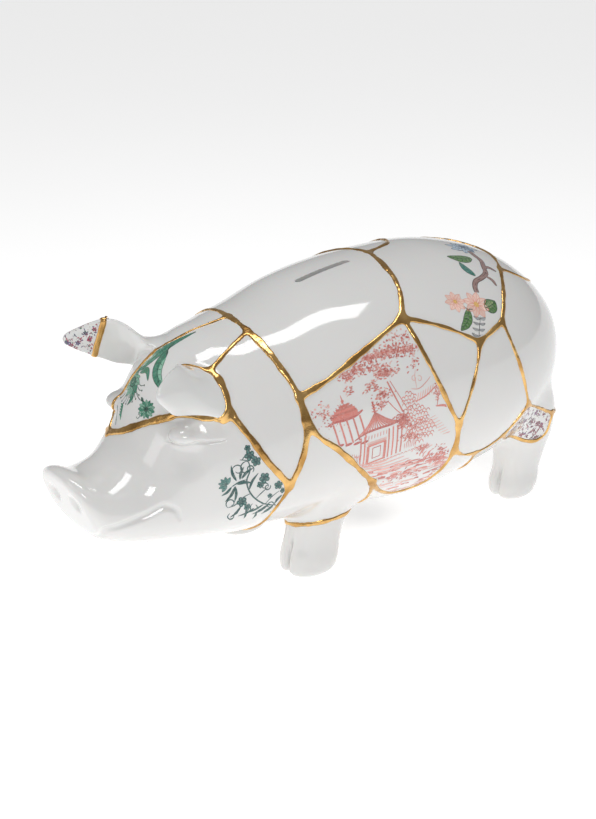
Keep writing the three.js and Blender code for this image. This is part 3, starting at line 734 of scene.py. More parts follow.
def transfer_material():
    """Printed enamel under the glaze, a little uneven in strength."""
    m = Nodes("enamel_transfer").set(IOR=1.5, Coat_Weight=0.3, Coat_Roughness=0.03)
    paint = m.add("ShaderNodeVertexColor")
    paint.layer_name = "paint"
    node = m.add("ShaderNodeMix")
    node.data_type = "RGBA"
    m.tree.links.new(m.spread(m.noise(900, 3), 0.0, 0.16, 0.4, 0.7), node.inputs[0])
    m.tree.links.new(paint.outputs["Color"], node.inputs[6])
    node.inputs[7].default_value = (0.86, 0.84, 0.82, 1)
    m.link(node.outputs[2], "Base Color")
    m.link(m.spread(m.noise(300, 3), 0.08, 0.16), "Roughness")
    return m.material


def rubber_material():
    m = Nodes("stopper_rubber").set(Specular_IOR_Level=0.35)
    m.link(m.blend(m.noise(140, 3), (0.018, 0.018, 0.019), (0.035, 0.034, 0.033)), "Base Color")
    m.link(m.spread(m.noise(300, 4), 0.45, 0.65), "Roughness")
    m.bump(m.noise(900, 3), 0.15, 0.0004)
    return m.material


# ---------------------------------------------------------------- build the pig
def slot_level(points):
    """How far points on the back are outside the coin slot."""
    x, y, z = points.T
    half = (SLOT_LENGTH - SLOT_WIDTH) / 2
    flat = np.hypot(np.clip(np.abs(x - SLOT_X) - half, 0, None), y) - SLOT_WIDTH / 2
    return np.where(z > 120, flat, FAR)


def hole_level(points):
    """How far points under the belly are outside the stopper hole."""
    x, y, z = points.T
    return np.where(z < 60, np.hypot(x - HOLE_X, y) - HOLE_RADIUS, FAR)


def build_skin(parts):
    """The refined outer skin, cut into porcelain and gold."""
    vertices, faces = surface_net(pig, SKIN_LOW, SKIN_HIGH, GRID)
    vertices = onto_skin(vertices, 3)
    for seam_reach, detail_reach in REFINE_STEPS:
        level = gold_level(vertices, parts)
        openings = np.minimum(slot_level(vertices), hole_level(vertices))
        x, y, z = vertices.T
        mirrored = np.stack([x, np.abs(y), z], -1)
        details = np.full(len(vertices), FAR)
        for track, radius, _ in CREASES:
            here = near(mirrored, track, 14)
            details[here] = np.minimum(details[here], line_distance(mirrored[here], track, radius))
        details = np.where((x < -70) & (ear(x, y, z) < 1.2), np.minimum(details, 1.0), details)
        wanted = (np.minimum(level, np.abs(openings)) < seam_reach) | (details < detail_reach)
        vertices, faces = refine(vertices, faces, wanted[faces].any(1))
    vertices, faces, _, _ = cut(vertices, faces, slot_level(vertices))
    vertices, faces = compact(vertices, faces)
    vertices, faces, _, _ = cut(vertices, faces, hole_level(vertices))
    vertices, faces = compact(vertices, faces)
    return cut(vertices, faces, gold_level(vertices, parts))


def roll_edges(vertices, normals):
    """Rounds the glaze over the edges of the slot and the stopper hole."""
    for level, width in ((slot_level(vertices), SLOT_ROLL), (hole_level(vertices), HOLE_ROLL)):
        t = np.clip(1 - level / width, 0, 1)
        vertices = vertices - normals * (1 - np.sqrt(1 - (t * 0.98) ** 2))[:, None] * width * 0.7
    return vertices


def make_pig():
    """The porcelain shards, the gold between them and the transfers on the glaze."""
    porcelain, gold = porcelain_material(), gold_material()
    parts = seam_parts()
    vertices, white, golden, level = build_skin(parts)
    normals = skin_normals(vertices)
    labels = patches(len(vertices), white)
    on_white = np.unique(white)
    is_ear = ear(*vertices.T) < trunk(*vertices.T) + 1.0
    inner = vertices - normals * np.where(is_ear, EAR_WALL, WALL)[:, None]
    outer = roll_edges(vertices, normals)
    shards = {}
    for name, seed in shard_seeds().items():
        closest = on_white[np.argmin(((vertices[on_white] - seed) ** 2).sum(1))]
        chosen = white[labels[white[:, 0]] == labels[closest]]
        out, f, n, inn = compact(outer, chosen, normals, inner)
        made = make_object(name + "_shell", *walled(out, n, f, inn), porcelain)
        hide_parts(name)
        shards[name] = labels[closest]
    make_gold(vertices, normals, golden, level, gold)
    make_transfers(SkinMap(vertices, labels, on_white[::4], shards), parts)


def gold_names(centres):
    """Which gold node each bit of gold stands for, by where it lies."""
    names = np.full(len(centres), "gold_seams", dtype="U32")
    for name, form, side, height, width, slope in ANKLES:
        offset, tilt = ankle_frame(centres, form, side, height, slope)
        ring = (np.abs(offset @ tilt) < width / 2 + 1.2) & (np.hypot(offset[:, 0], offset[:, 1]) < 24)
        names[ring] = "gold_" + name
    x, y, z = centres.T
    along = ear_frame(x, y, z)[0]
    band = (np.abs(along - EAR_BAND_AT) < EAR_BAND_WIDTH) & (ear(x, y, z) < 3) & (y > 0)
    names[band] = "gold_right_ear_band"
    return names


def make_gold(vertices, normals, faces, level, material):
    """The raised beads, each with a rounded edge and a flat back inside the wall."""
    q = np.clip(-level / GOLD_ROUND, 0, 1)
    height = GOLD_HEIGHT * np.sqrt(1 - (1 - q) ** 2) * (1 + GOLD_WAVE * ripple(vertices, 9, 5))
    raised = vertices + normals * height[:, None]
    names = gold_names(vertices[faces].mean(1))
    for name in np.unique(names):
        top, f, n, base = compact(raised, faces[names == name], normals, vertices)
        n = vertex_normals(top, f)
        made = make_object(name + "_bead", *walled(top, n, f, base - n * GOLD_DEPTH), material, slot="gold")
        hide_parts(name)


# ---------------------------------------------------------------- painted transfers
TEAL, TEAL_LIGHT = (0.012, 0.085, 0.08), (0.10, 0.27, 0.24)
GREEN_DARK, GREEN, GREEN_LIGHT = (0.01, 0.07, 0.045), (0.035, 0.25, 0.15), (0.25, 0.52, 0.38)
CORAL, CORAL_DARK, CORAL_LIGHT = (0.72, 0.24, 0.20), (0.58, 0.15, 0.13), (0.83, 0.47, 0.42)
MAROON = [(0.16, 0.02, 0.05), (0.28, 0.06, 0.10), (0.20, 0.09, 0.20), (0.10, 0.03, 0.06),
          (0.40, 0.20, 0.22)]
TIP_INKS = [(0.30, 0.02, 0.06), (0.10, 0.05, 0.18), (0.45, 0.05, 0.12), (0.05, 0.03, 0.10),
            (0.05, 0.16, 0.10)]
PEACH, PEACH_LINE, YELLOW = (0.93, 0.66, 0.57), (0.80, 0.28, 0.20), (0.86, 0.52, 0.16)
BARK, BARK_DARK = (0.33, 0.20, 0.18), (0.10, 0.05, 0.05)
LEAF, LEAF_LIGHT, LEAF_DARK = (0.09, 0.22, 0.06), (0.30, 0.42, 0.18), (0.015, 0.06, 0.025)
BLUE, BLUE_LIGHT, BLUE_DARK = (0.22, 0.36, 0.52), (0.52, 0.66, 0.78), (0.05, 0.10, 0.20)
INK = (0.02, 0.02, 0.025)
TRANSFER_LIFT, LAYER_LIFT = 0.05, 0.012


def slim(t):
    return np.sin(math.pi * np.clip(t, 0, 1) ** 0.85) ** 0.8 + 0.05


def brush(t):
    return 0.35 + 0.65 * np.sin(math.pi * t) ** 0.6


def even(t):
    return np.ones_like(t)


def oval_shape(t):
    return np.sqrt(np.clip(1 - (2 * t - 1) ** 2, 0.0, 1)) + 0.02


class Transfer:
    """Strokes of paint in a flat frame laid on the skin: u runs backwards and v upwards, in millimetres."""

    def __init__(self, x, phi, seed, turn=0.0):
        centre = out_to_skin(body_point([x], [phi]), body_normal(np.array([x], float), phi))[0]
        self.set_frame(centre, turn)
        self.draw = np.random.default_rng(seed)
        self.points, self.faces, self.paint, self.count = [], [], [], 0
        self.layer = 0

    def set_frame(self, centre, turn):
        self.centre = centre
        self.normal = skin_normals(centre[None])[0]
        along = unit(np.array([1.0, 0, 0]) - self.normal[0] * self.normal)
        up = np.cross(self.normal, along)
        c, s = math.cos(math.radians(turn)), math.sin(math.radians(turn))
        self.u, self.v = along * c + up * s, up * c - along * s

    def stroke(self, track, width, colour, shape=brush, step=0.8):
        """A strip along a smooth curve, with its width shaped along its length."""
        track = np.array(track, float)
        place = np.concatenate([[0], np.cumsum(np.linalg.norm(np.diff(track, axis=0), axis=1))])
        at = np.linspace(0, place[-1], max(int(place[-1] / step) + 2, 4))
        line = np.stack([curve(np.stack([place, track[:, k]], 1), at) for k in (0, 1)], 1)
        tangent = unit(np.gradient(line, axis=0) + 1e-9)
        side = np.stack([-tangent[:, 1], tangent[:, 0]], 1) * (width / 2 * shape(at / place[-1]))[:, None]
        rows = np.stack([line - side, line, line + side], 1).reshape(-1, 2)
        i = 3 * np.arange(len(line) - 1)[:, None] + np.array([0, 1])
        i = i.ravel()
        quads = np.concatenate([np.stack([i + 1, i, i + 3], 1), np.stack([i + 1, i + 3, i + 4], 1)])
        self.points.append(np.concatenate([rows, np.full((len(rows), 1), self.layer)], 1))
        self.faces.append(quads + self.count)
        self.paint.append(np.tile(colour, (len(rows), 1)) * self.draw.uniform(0.88, 1.1))
        self.count += len(rows)
        return line, side

    def on_top(self):
        self.layer += 1

    def leaf(self, base, tip, width, fill, edge=None, bend=0.0, veins=0):
        """A leaf with an inked edge and veins."""
        base, tip = np.array(base, float), np.array(tip, float)
        span = tip - base
        across = np.array([-span[1], span[0]])
        middle = (base + tip) / 2 + across * bend
        line, side = self.stroke([base, middle, tip], width, fill, slim, 0.6)
        if edge is None:
            return
        self.layer += 1
        thin = max(width * 0.06, 0.18)
        self.stroke(line - side, thin, edge, even)
        self.stroke(line + side, thin, edge, even)
        self.stroke(line, thin, edge, even)
        for k in range(veins):
            j = int(len(line) * (k + 1) / (veins + 1.5))
            for sign in (-1, 1):
                end = min(j + 2, len(line) - 1)
                self.stroke([line[j], line[end] + side[end] * 0.8 * sign], thin * 0.8, edge, even)
        self.layer -= 1

    def disc(self, centre, radius, colour):
        c = np.array(centre, float)
        self.stroke([c - (radius, 0), c, c + (radius, 0)], 2 * radius, colour, oval_shape, radius / 4)

    def bloom(self, centre, petals, radius, width, fill, edge, heart, start=0.0):
        for k in range(petals):
            a = start + 2 * math.pi * k / petals
            way = np.array([math.cos(a), math.sin(a)])
            self.leaf(centre + way * radius * 0.12, centre + way * radius, width, fill, edge)
        self.layer += 2
        self.disc(centre, radius * 0.2, heart)
        self.layer -= 2

    def curl(self, start, angle, radius, turn, width, colour):
        """A scroll that starts at a point in a direction and winds inwards."""
        position, heading, track = np.array(start, float), math.radians(angle), []
        for t in np.linspace(0, 1, 11):
            track.append(position.copy())
            bend = turn / (radius * (1 - 0.5 * t))
            step = radius * 0.40
            heading += bend * step
            position = position + step * np.array([math.cos(heading), math.sin(heading)])
        self.stroke(track, width, colour)

    def speckle(self, low, high, count, sizes, colours):
        """Short dabs of paint scattered over an area."""
        for _ in range(count):
            p = self.draw.uniform(low, high)
            a = self.draw.uniform(0, math.pi)
            length = self.draw.uniform(*sizes)
            way = np.array([math.cos(a), math.sin(a)]) * length / 2
            colour = colours[int(self.draw.integers(len(colours)))]
            self.stroke([p - way, p + way * 0.2 + way[::-1] * 0.3, p + way], length * 0.5, colour,
                        slim, 1.0)

    def make(self, name, shard, skin, parts, material):
        """Lays the strokes on the skin, leaving out what falls on other shards or on the gold."""
        flat, faces = np.concatenate(self.points), np.concatenate(self.faces)
        paint = np.concatenate(self.paint)
        rough = self.centre + flat[:, :1] * self.u + flat[:, 1:2] * self.v
        depth = np.full(len(rough), 60.0)
        for t in np.arange(60.0, -14.0, -1.5):
            depth = np.where(pig(rough - self.normal * t) > 0, depth, t)
        laid = onto_skin(rough - self.normal * depth[:, None], 3)
        normals = skin_normals(laid)
        facing = normals @ self.normal > 0.12
        kept = facing & (gold_level(laid, parts) > 0.12) & skin.on(laid, shard)
        faces = faces[kept[faces].all(1)]
        lifted = laid + normals * (TRANSFER_LIFT + LAYER_LIFT * flat[:, 2:3])
        lifted, faces, paint, normals = compact(lifted, faces, paint, normals)
        made = make_object(name, lifted, faces, normals[faces], material)
        layer = made.data.color_attributes.new("paint", "FLOAT_COLOR", "POINT")
        layer.data.foreach_set("color", np.concatenate([paint, np.ones((len(paint), 1))], 1)
                               .astype(np.float32).ravel())


class SkinMap:
    """Tells which shard a point of the skin is on."""

    def __init__(self, vertices, labels, chosen, shards):
        self.tree = KDTree(len(chosen))
        for k, index in enumerate(chosen):
            self.tree.insert(vertices[index], k)
        self.tree.balance()
        self.labels, self.shards = labels[chosen], shards

    def on(self, points, shard):
        found = [self.tree.find(p)[1] for p in points]
        return self.labels[found] == self.shards[shard]


def blossom(t, centre, radius, colour=TEAL, light=TEAL_LIGHT):
    """A small five-petalled printed flower."""
    centre = np.array(centre, float)
    for k in range(5):
        a = 2 * math.pi * k / 5 + radius
        way = np.array([math.cos(a), math.sin(a)])
        t.disc(centre + way * radius * 0.62, radius * 0.42, colour)
        t.on_top()
        t.disc(centre + way * radius * 0.66, radius * 0.16, light)
        t.layer -= 1
    t.on_top()
    t.disc(centre, radius * 0.3, colour)
    t.layer -= 1


def paint_cheek():
    """Dark green scrolling stems with small blossoms and slim leaves."""
    t = Transfer(-98, 82, 21)
    stem = [(25, -20), (16, -17.5), (7, -13), (1, -6), (-1, 2), (1.5, 9), (0.5, 14), (-4, 15.5)]
    t.stroke(stem, 0.95, TEAL)
    t.stroke([(-1.5, 3), (-6, 2), (-10, 0)], 0.8, TEAL)
    t.stroke([(1, -6), (-4, -8), (-9, -12), (-13, -13)], 0.7, TEAL)
    t.stroke([(4, -10), (9, -6), (12, -4)], 0.6, TEAL)
    t.stroke([(10, -15), (14, -11), (19, -8)], 0.6, TEAL)
    t.stroke([(-3, 15), (-1, 17), (1, 17.5)], 0.6, TEAL)
    curls = (((0.5, 14), 160, 4.2, 1), ((-9, 10.5), 80, 3.4, -1), ((-13, -13), 150, 3.2, -1),
             ((12, -4), 60, 2.4, 1), ((13.5, -3), -60, 2.2, -1), ((16, -17.5), 70, 2.6, 1),
             ((2, -13), 200, 3.0, 1), ((-12, -17), 200, 2.6, 1), ((3, 7), 30, 2.6, 1))
    for start, angle, radius, turn in curls:
        t.curl(start, angle, radius, turn, 0.75, TEAL)
    blossoms = (((2.0, 17.2), 3.2), ((5.6, 13.2), 3.0), ((1.2, 21.5), 2.0), ((10.0, 2.2), 3.3),
                ((7.2, -1.6), 2.2), ((-4.5, -10.5), 3.2), ((-1.2, -14.6), 2.3), ((18.6, -4.2), 2.7),
                ((21.5, -8.4), 2.0), ((13.0, -10.0), 1.6))
    for centre, radius in blossoms:
        blossom(t, centre, radius)
    flower = np.array([-13.0, 1.5])
    for angle in (60, 95, 130, 165, 200, 235):
        a = math.radians(angle)
        tip = flower + 5.0 * np.array([math.cos(a), math.sin(a)])
        t.leaf(flower, tip, 2.2, TEAL_LIGHT, TEAL)
    slim_leaves = (((-7, 3), (-9.5, 13), 1.7), ((-5, 3.5), (-2, 11), 1.6), ((-4, 4), (3.5, 9.5), 1.7),
                   ((-7, 1), (2, 0.6), 1.9), ((-8, 0), (-14.5, -9), 1.7), ((-8, 0), (-9, -10), 1.6),
                   ((0, -4), (6.5, 6), 1.5), ((-10, 0), (-16.5, -5), 1.5), ((16, -17), (8, -22), 1.7),
                   ((12, -16), (2, -20.5), 1.7), ((9, -15), (-3, -18.5), 1.6),
                   ((16, -17), (21, -11.5), 1.4), ((20, -18.5), (14, -23), 1.5),
                   ((3, -16), (-7, -20), 1.5), ((21, -19), (24, -14), 1.3),
                   ((-5, -13), (-12, -20), 1.5), ((-2, -15), (-3, -23), 1.5), ((5, -19), (3, -25), 1.3))
    for base, tip, width in slim_leaves:
        t.leaf(base, tip, width, TEAL, None, 0.08)
    return t


def paint_forehead():
    """A green spray with long leaves, a drooping flower and a small rosette."""
    t = Transfer(-119, 0, 22)
    t.leaf((-4, 21), (33, -0.5), 5.4, GREEN, GREEN_DARK, -0.06, 6)
    t.leaf((0, 20), (24, 8), 2.4, GREEN_LIGHT, GREEN_DARK, -0.1)
    t.leaf((16, 3), (-6, -9), 7.6, GREEN, GREEN_DARK, -0.18, 5)
    t.on_top()
    t.leaf((12, 0), (-3, -9), 3.0, GREEN_LIGHT, None, -0.18)
    t.layer -= 1
    t.stroke([(22, 4), (16, 3), (13, 1)], 1.0, GREEN_DARK)
    t.leaf((-3, 17), (-5, 5), 3.6, GREEN, GREEN_DARK, 0.35, 2)
    flower = np.array([-10.0, 20.5])
    petals = ((10, 8), (50, 8.5), (90, 9), (130, 9), (170, 10), (205, 10.5), (240, 10), (275, 8.5),
              (310, 7.5), (345, 7.5))
    for angle, length in petals:
        a = math.radians(angle)
        tip = flower + length * np.array([math.cos(a), math.sin(a)])
        t.leaf(flower, tip, 4.4, GREEN_LIGHT if angle % 20 else GREEN, GREEN_DARK, 0.1)
    t.layer += 2
    for radius, colour in ((3.6, GREEN_DARK), (2.7, GREEN), (1.6, GREEN_DARK), (0.8, GREEN_LIGHT)):
        t.disc(flower, radius, colour)
        t.on_top()
    t.layer = 0
    for angle in range(150, 280, 14):
        a = math.radians(angle)
        way = np.array([math.cos(a), math.sin(a)])
        t.stroke([flower + way * 8, flower + way * 11.5 + way[::-1] * 0.8, flower + way * 13.5], 0.5,
                 GREEN_DARK)
        t.disc(flower + way * 14, 0.6, GREEN_DARK)
    t.leaf((-13, 16), (-24, 15), 3.0, GREEN, GREEN_DARK, 0.15)
    t.stroke([(-15, 11), (-17, 6), (-17.5, 2)], 0.45, INK)
    t.leaf((-15.5, 4.5), (-18, 0), 1.8, GREEN_DARK)
    rosette = np.array([-20.5, -4.5])
    for k in range(13):
        a = 2 * math.pi * k / 13
        way = np.array([math.cos(a) * 0.75, math.sin(a)])
        t.leaf(rosette + way * 1.0, rosette + way * 7.6, 2.9, GREEN_LIGHT if k % 2 else GREEN, GREEN_DARK)
    t.layer += 2
    t.disc(rosette, 1.7, GREEN_DARK)
    t.layer = 0
    for centre, turn in (((-26, -9), 1), ((-27.5, -12), -1), ((-27, 1), 1)):
        t.curl(centre, 200, 1.8, turn, 0.45, GREEN_DARK)
    t.stroke([(-38, 18), (-32, 23), (-27, 27)], 0.7, GREEN_DARK)
    for k in range(5):
        t.leaf((-25 - 1.5 * k, 24 - k), (-28 - 1.5 * k, 19 - k), 1.4, GREEN, None, 0.2)
    t.speckle((8, 12), (26, 22), 14, (0.5, 1.3), [GREEN_DARK, GREEN])
    return t


def paint_rump():
    """A blue flower and a knotted branch with peach flowers and shaded leaves."""
    t = Transfer(88, 43, 23)
    blue = np.array([29.0, 42.0])
    for angle, length in ((20, 9), (65, 8), (110, 9), (150, 13), (185, 14), (225, 11), (280, 8), (330, 10)):
        a = math.radians(angle)
        t.leaf(blue, blue + length * np.array([math.cos(a), math.sin(a)]), 5.4,
               BLUE_LIGHT if angle % 4 else BLUE, BLUE_DARK, 0.08, 2)
    t.layer += 2
    t.disc(blue, 1.8, BLUE_DARK)
    t.layer = 0
    branch = [(27, 36), (26, 30), (25.5, 24), (21, 17), (18, 12), (10, 8), (3, 6), (-1, 2), (-2.5, -2)]
    t.stroke(branch, 3.8, BARK_DARK, even)
    t.stroke([(20, 16), (25, 16.5), (29, 12)], 3.0, BARK_DARK)
    t.stroke([(15, 9), (18, 5), (18, 0)], 2.8, BARK_DARK)
    t.on_top()
    t.stroke(branch, 2.7, BARK, even)
    t.stroke([(20, 16), (25, 16.5), (28.5, 12.5)], 2.0, BARK)
    t.stroke([(15, 9), (18, 5), (18, 0.6)], 1.8, BARK)
    t.on_top()
    for k in range(len(branch) - 1):
        a, b = np.array(branch[k], float), np.array(branch[k + 1], float)
        t.stroke([a + (b - a) * 0.2 + (0.5, 0), a + (b - a) * 0.8 + (0.4, 0.3)], 0.4, BARK_DARK)
    t.disc((17.5, 11.5), 2.1, BARK)
    t.on_top()
    t.disc((17.5, 11.5), 0.8, BARK_DARK)
    t.layer = 0
    t.leaf((19, 27), (2, 33), 8.0, LEAF, LEAF_DARK, 0.12, 5)
    t.leaf((6.5, 10.5), (5, 25), 5.0, (0.05, 0.26, 0.22), LEAF_DARK, 0.1, 6)
    for centre, radius, start in (((-8.5, -10.0), 9.6, 0.2), ((-23.0, -4.5), 7.6, 0.6)):
        centre = np.array(centre)
        for k in range(8):
            a = start + 2 * math.pi * k / 8
            way = np.array([math.cos(a), math.sin(a)])
            t.leaf(centre + way * 1.0, centre + way * radius, radius * 0.5, PEACH, PEACH_LINE)
            t.layer += 2
            t.stroke([centre + way * 1.5, centre + way * radius * 0.55], 0.3, PEACH_LINE)
            t.layer -= 2
        t.layer += 3
        t.disc(centre, radius * 0.2, YELLOW)
        t.on_top()
        for k in range(6):
            a = k * math.pi / 3
            t.disc(centre + radius * 0.13 * np.array([math.cos(a), math.sin(a)]), 0.22, BARK_DARK)
        t.layer = 0
    t.leaf((-3, -14), (8, -11), 9.4, LEAF, LEAF_DARK, -0.05, 5)
    t.on_top()
    t.leaf((-1, -14), (6, -11.5), 4.0, LEAF_LIGHT, None, 0.1)
    t.layer = 0
    t.stroke([(-19, -9), (-17.5, -11), (-13, -12.5)], 0.5, LEAF_DARK)
    t.leaf((-16.5, -11.5), (-29, -23), 6.0, LEAF, LEAF_DARK, 0.12, 6)
    t.stroke([(-18, -31), (-14.5, -25), (-10, -18)], 0.45, INK)
    for k in range(4):
        base = np.array([-17 + 2.1 * k, -29 + 3.2 * k])
        t.leaf(base, base + (-4.6, 2.6), 1.7, (0.45, 0.47, 0.48), INK, 0.1)
        t.leaf(base, base + (4.4, -0.4), 1.7, (0.45, 0.47, 0.48), INK, -0.1)
    return t


def foliage(t, centre, size, count, colours=(CORAL, CORAL_DARK, CORAL_LIGHT)):
    """A cloud of small dabs, denser in the middle."""
    for _ in range(count):
        p = np.array(centre) + t.draw.normal(size=2) * np.array(size) * 0.5
        a = t.draw.uniform(-0.6, 0.9)
        way = np.array([math.cos(a), math.sin(a)]) * t.draw.uniform(0.5, 1.2)
        colour = colours[int(t.draw.integers(len(colours)))]
        t.stroke([p - way, p + (0, 0.35), p + way], t.draw.uniform(0.5, 1.0), colour, slim, 1.2)


def scallops(t, centre, size, rows, columns):
    """A round bush drawn as overlapping little arcs."""
    for i in range(rows):
        for j in range(columns):
            spot = np.array([(j + 0.5 * (i % 2)) / columns * 2 - 1, i / (rows - 1) * 2 - 1])
            if spot @ spot > 1.05:
                continue
            p = np.array(centre) + spot * size + t.draw.uniform(-0.5, 0.5, 2)
            r = size[0] / columns * t.draw.uniform(0.95, 1.35)
            t.stroke([p + (-r, -r * 0.5), p + (-r * 0.6, r * 0.5), p + (0, r * 0.8), p + (r * 0.6, r * 0.5),
                      p + (r, -r * 0.5)], 0.6, CORAL)


def pillars(t, low, high, foot, count, width):
    for k in range(count):
        a, b = np.array(low, float), np.array(high, float)
        top = a + (b - a) * k / (count - 1)
        t.stroke([top, top + foot], width, CORAL, even)


def paint_flank():
    """A one-colour country scene: trees, a domed pavilion, a tiered garden house, bushes and water."""
    t = Transfer(-13, 80, 24)
    trees = (((24, 41), (9, 3.5), 60), ((15, 34), (13, 3.2), 190), ((1, 33), (9, 3), 120),
             ((26, 33), (11, 3), 110), ((-9, 28), (7, 3.4), 90), ((-16, 25), (5, 3.6), 60),
             ((9, 23), (7.5, 2.6), 150), ((4, 27), (10, 3.4), 90), ((-1, 17), (5.5, 3.5), 60),
             ((5, 11), (6, 3), 80), ((3, 5), (4, 2), 40), ((30, 25), (5, 5), 22),
             ((-17, 17), (3, 4), 20), ((-37, 9), (6, 6), 40), ((-32, 2), (4, 5), 24))
    for centre, size, count in trees:
        foliage(t, centre, size, count)
    t.stroke([(9, 18), (13, 8), (17.5, -2)], 1.0, CORAL, even)
    t.stroke([(11, 18), (16, 8), (21.5, -2)], 0.5, CORAL, even)
    t.stroke([(8, 6), (12, 1), (17, -4)], 0.6, CORAL, even)
    # domed pavilion on the left
    dome = np.array([-22.0, 2.0])
    for k, half in enumerate((8.8, 8.6, 8.0, 7.0, 5.6, 3.4)):
        course = [dome + (-half, k * 1.35), dome + (0, k * 1.35 + 0.7), dome + (half, k * 1.35 + 1.6)]
        t.stroke(course, 1.5, CORAL, even)
    eaves = [dome + (-11.5, -2.6), dome + (-8, -1.2), dome + (0, -0.6), dome + (8, 0.8), dome + (12, 2.8)]
    t.stroke(eaves, 2.3, CORAL_DARK)
    t.stroke([dome + (0, 8), dome + (-0.6, 11), dome + (-1.2, 14)], 0.7, CORAL)
    t.disc(dome + (-0.5, 10.2), 1.0, CORAL)
    for side in (-1, 1):
        for k in range(5):
            spot = dome + (side * (9 - k * 1.5), 1.5 + k * 1.6)
            t.stroke([spot, spot + (side * 1.2, 0.7)], 0.45, CORAL)
    pillars(t, dome + (-8.5, -2.5), dome + (9.5, 0), (3.6, -15), 5, 1.15)
    for k in range(4):
        base = dome + (-4.6 + 5.6 * k, -16.6 - 0.5 * k)
        t.stroke([base + (-2.4, 0), base + (2.4, 0.8)], 1.7, CORAL_DARK)
    # garden house with tiered roofs
    house = np.array([-1.0, -14.0])
    ridge = house + (-1.0, 15.5)
    for k in range(15):
        foot = house + (-13.5 + 2.35 * k, 3.0 - 0.02 * (k - 5) ** 2 + 0.3 * k)
        t.stroke([ridge, (ridge + foot) / 2 + (0, -1.6), foot], 0.75, CORAL, even)
    eaves = [house + (-16, 0.6), house + (-9, 3.6), house + (2, 5.2), house + (12, 6.0), house + (21, 9)]
    t.stroke(eaves, 1.5, CORAL_DARK)
    t.stroke([ridge + (0, -1), ridge + (-0.5, 3), ridge + (-1.2, 7)], 1.4, CORAL_DARK)
    for k in range(4):
        spot = ridge + (-0.3 * k, 0.6 + 1.9 * k)
        t.stroke([spot + (-2.2 + 0.4 * k, 0.2), spot, spot + (2.2 - 0.4 * k, 0.2)], 0.8, CORAL)
    for k in range(9):
        head = house + (-8 + 2.1 * k, 1.6 + 0.22 * k)
        t.stroke([head, house + (-8.4 + 2.1 * k, -1.4 + 0.22 * k)], 0.55, CORAL)
    for x in (-11.5, -8.8, 8.4, 11.4, 14.6, 17.6):
        t.stroke([house + (x, 2.5 + 0.1 * x), house + (x - 0.6, -17 + 0.16 * x)], 1.05, CORAL, even)
    for k in range(4):
        t.stroke([house + (-7.6 + 0.3 * k, -3 - 0.5 * k), house + (6.6, -1.8 - 0.5 * k)], 0.3, CORAL_LIGHT,
                 even)
    t.stroke([house + (-6.5, -5), house + (-6.9, -17.5)], 1.9, CORAL, even)
    t.stroke([house + (5.6, -3.6), house + (5.2, -16)], 1.9, CORAL, even)
    t.stroke([house + (-6.5, -5), house + (5.6, -3.6)], 1.6, CORAL, even)
    t.stroke([house + (-6.9, -17.0), house + (5.2, -15.4)], 1.2, CORAL, even)
    window = (((-3.2, -7), (2.4, -6.4)), ((-3.4, -14), (2.2, -13.2)), ((-3.2, -7), (-3.4, -14)),
              ((2.4, -6.4), (2.2, -13.2)))
    for a, b in window:
        t.stroke([house + a, house + b], 0.55, CORAL_DARK, even)
    for k in range(4):
        t.stroke([house + (-13 - 1.6 * k, -9 + 0.5 * k), house + (-11.5 - 1.6 * k, -20 + 0.5 * k)], 0.5,
                 CORAL)
    # bushes, small hut, faint pavilion and rail on the right
    foliage(t, (17.5, -8), (6, 5), 130, (CORAL_DARK, CORAL))
    scallops(t, (26, -8), (11, 7.5), 8, 9)
    scallops(t, (30, -18), (12, 7), 7, 9)
    scallops(t, (23, 4), (5, 4.5), 5, 5)
    foliage(t, (24, -19), (9, 3), 70)
    t.stroke([(18, -22), (24, -18), (30, -23)], 1.0, CORAL)
    for k in range(7):
        t.stroke([(19 + 1.4 * k, -23 + 0.2 * k), (19 + 1.4 * k, -27)], 0.45, CORAL)
    t.stroke([(25, 10.5), (30, 9.5), (36, 12), (40, 15)], 0.5, CORAL)
    t.stroke([(29, 10), (29, 18), (30, 21)], 0.5, CORAL_LIGHT)
    t.curl((29, 18), 150, 2.0, 1, 0.5, CORAL_LIGHT)
    t.curl((31, 17), 30, 2.0, -1, 0.5, CORAL_LIGHT)
    for k in range(7):
        t.stroke([(28 + 1.9 * k, 1 + 0.6 * k), (30 + 1.9 * k, 7 + 0.5 * k)], 0.7, CORAL_LIGHT)
    t.stroke([(27, 2), (35, 4), (44, 9)], 0.9, CORAL)
    t.stroke([(42, 8), (44, 2), (43, -4)], 0.8, CORAL)
    t.stroke([(42, -4), (48, -5), (55, -9)], 1.5, CORAL)
    foliage(t, (44, 4), (4, 5), 40)
    for k in range(8):
        t.stroke([(34 + 2 * k, -12 - 1.8 * k), (42 + 1.7 * k, -10 - 2 * k)], 0.5, CORAL_LIGHT)
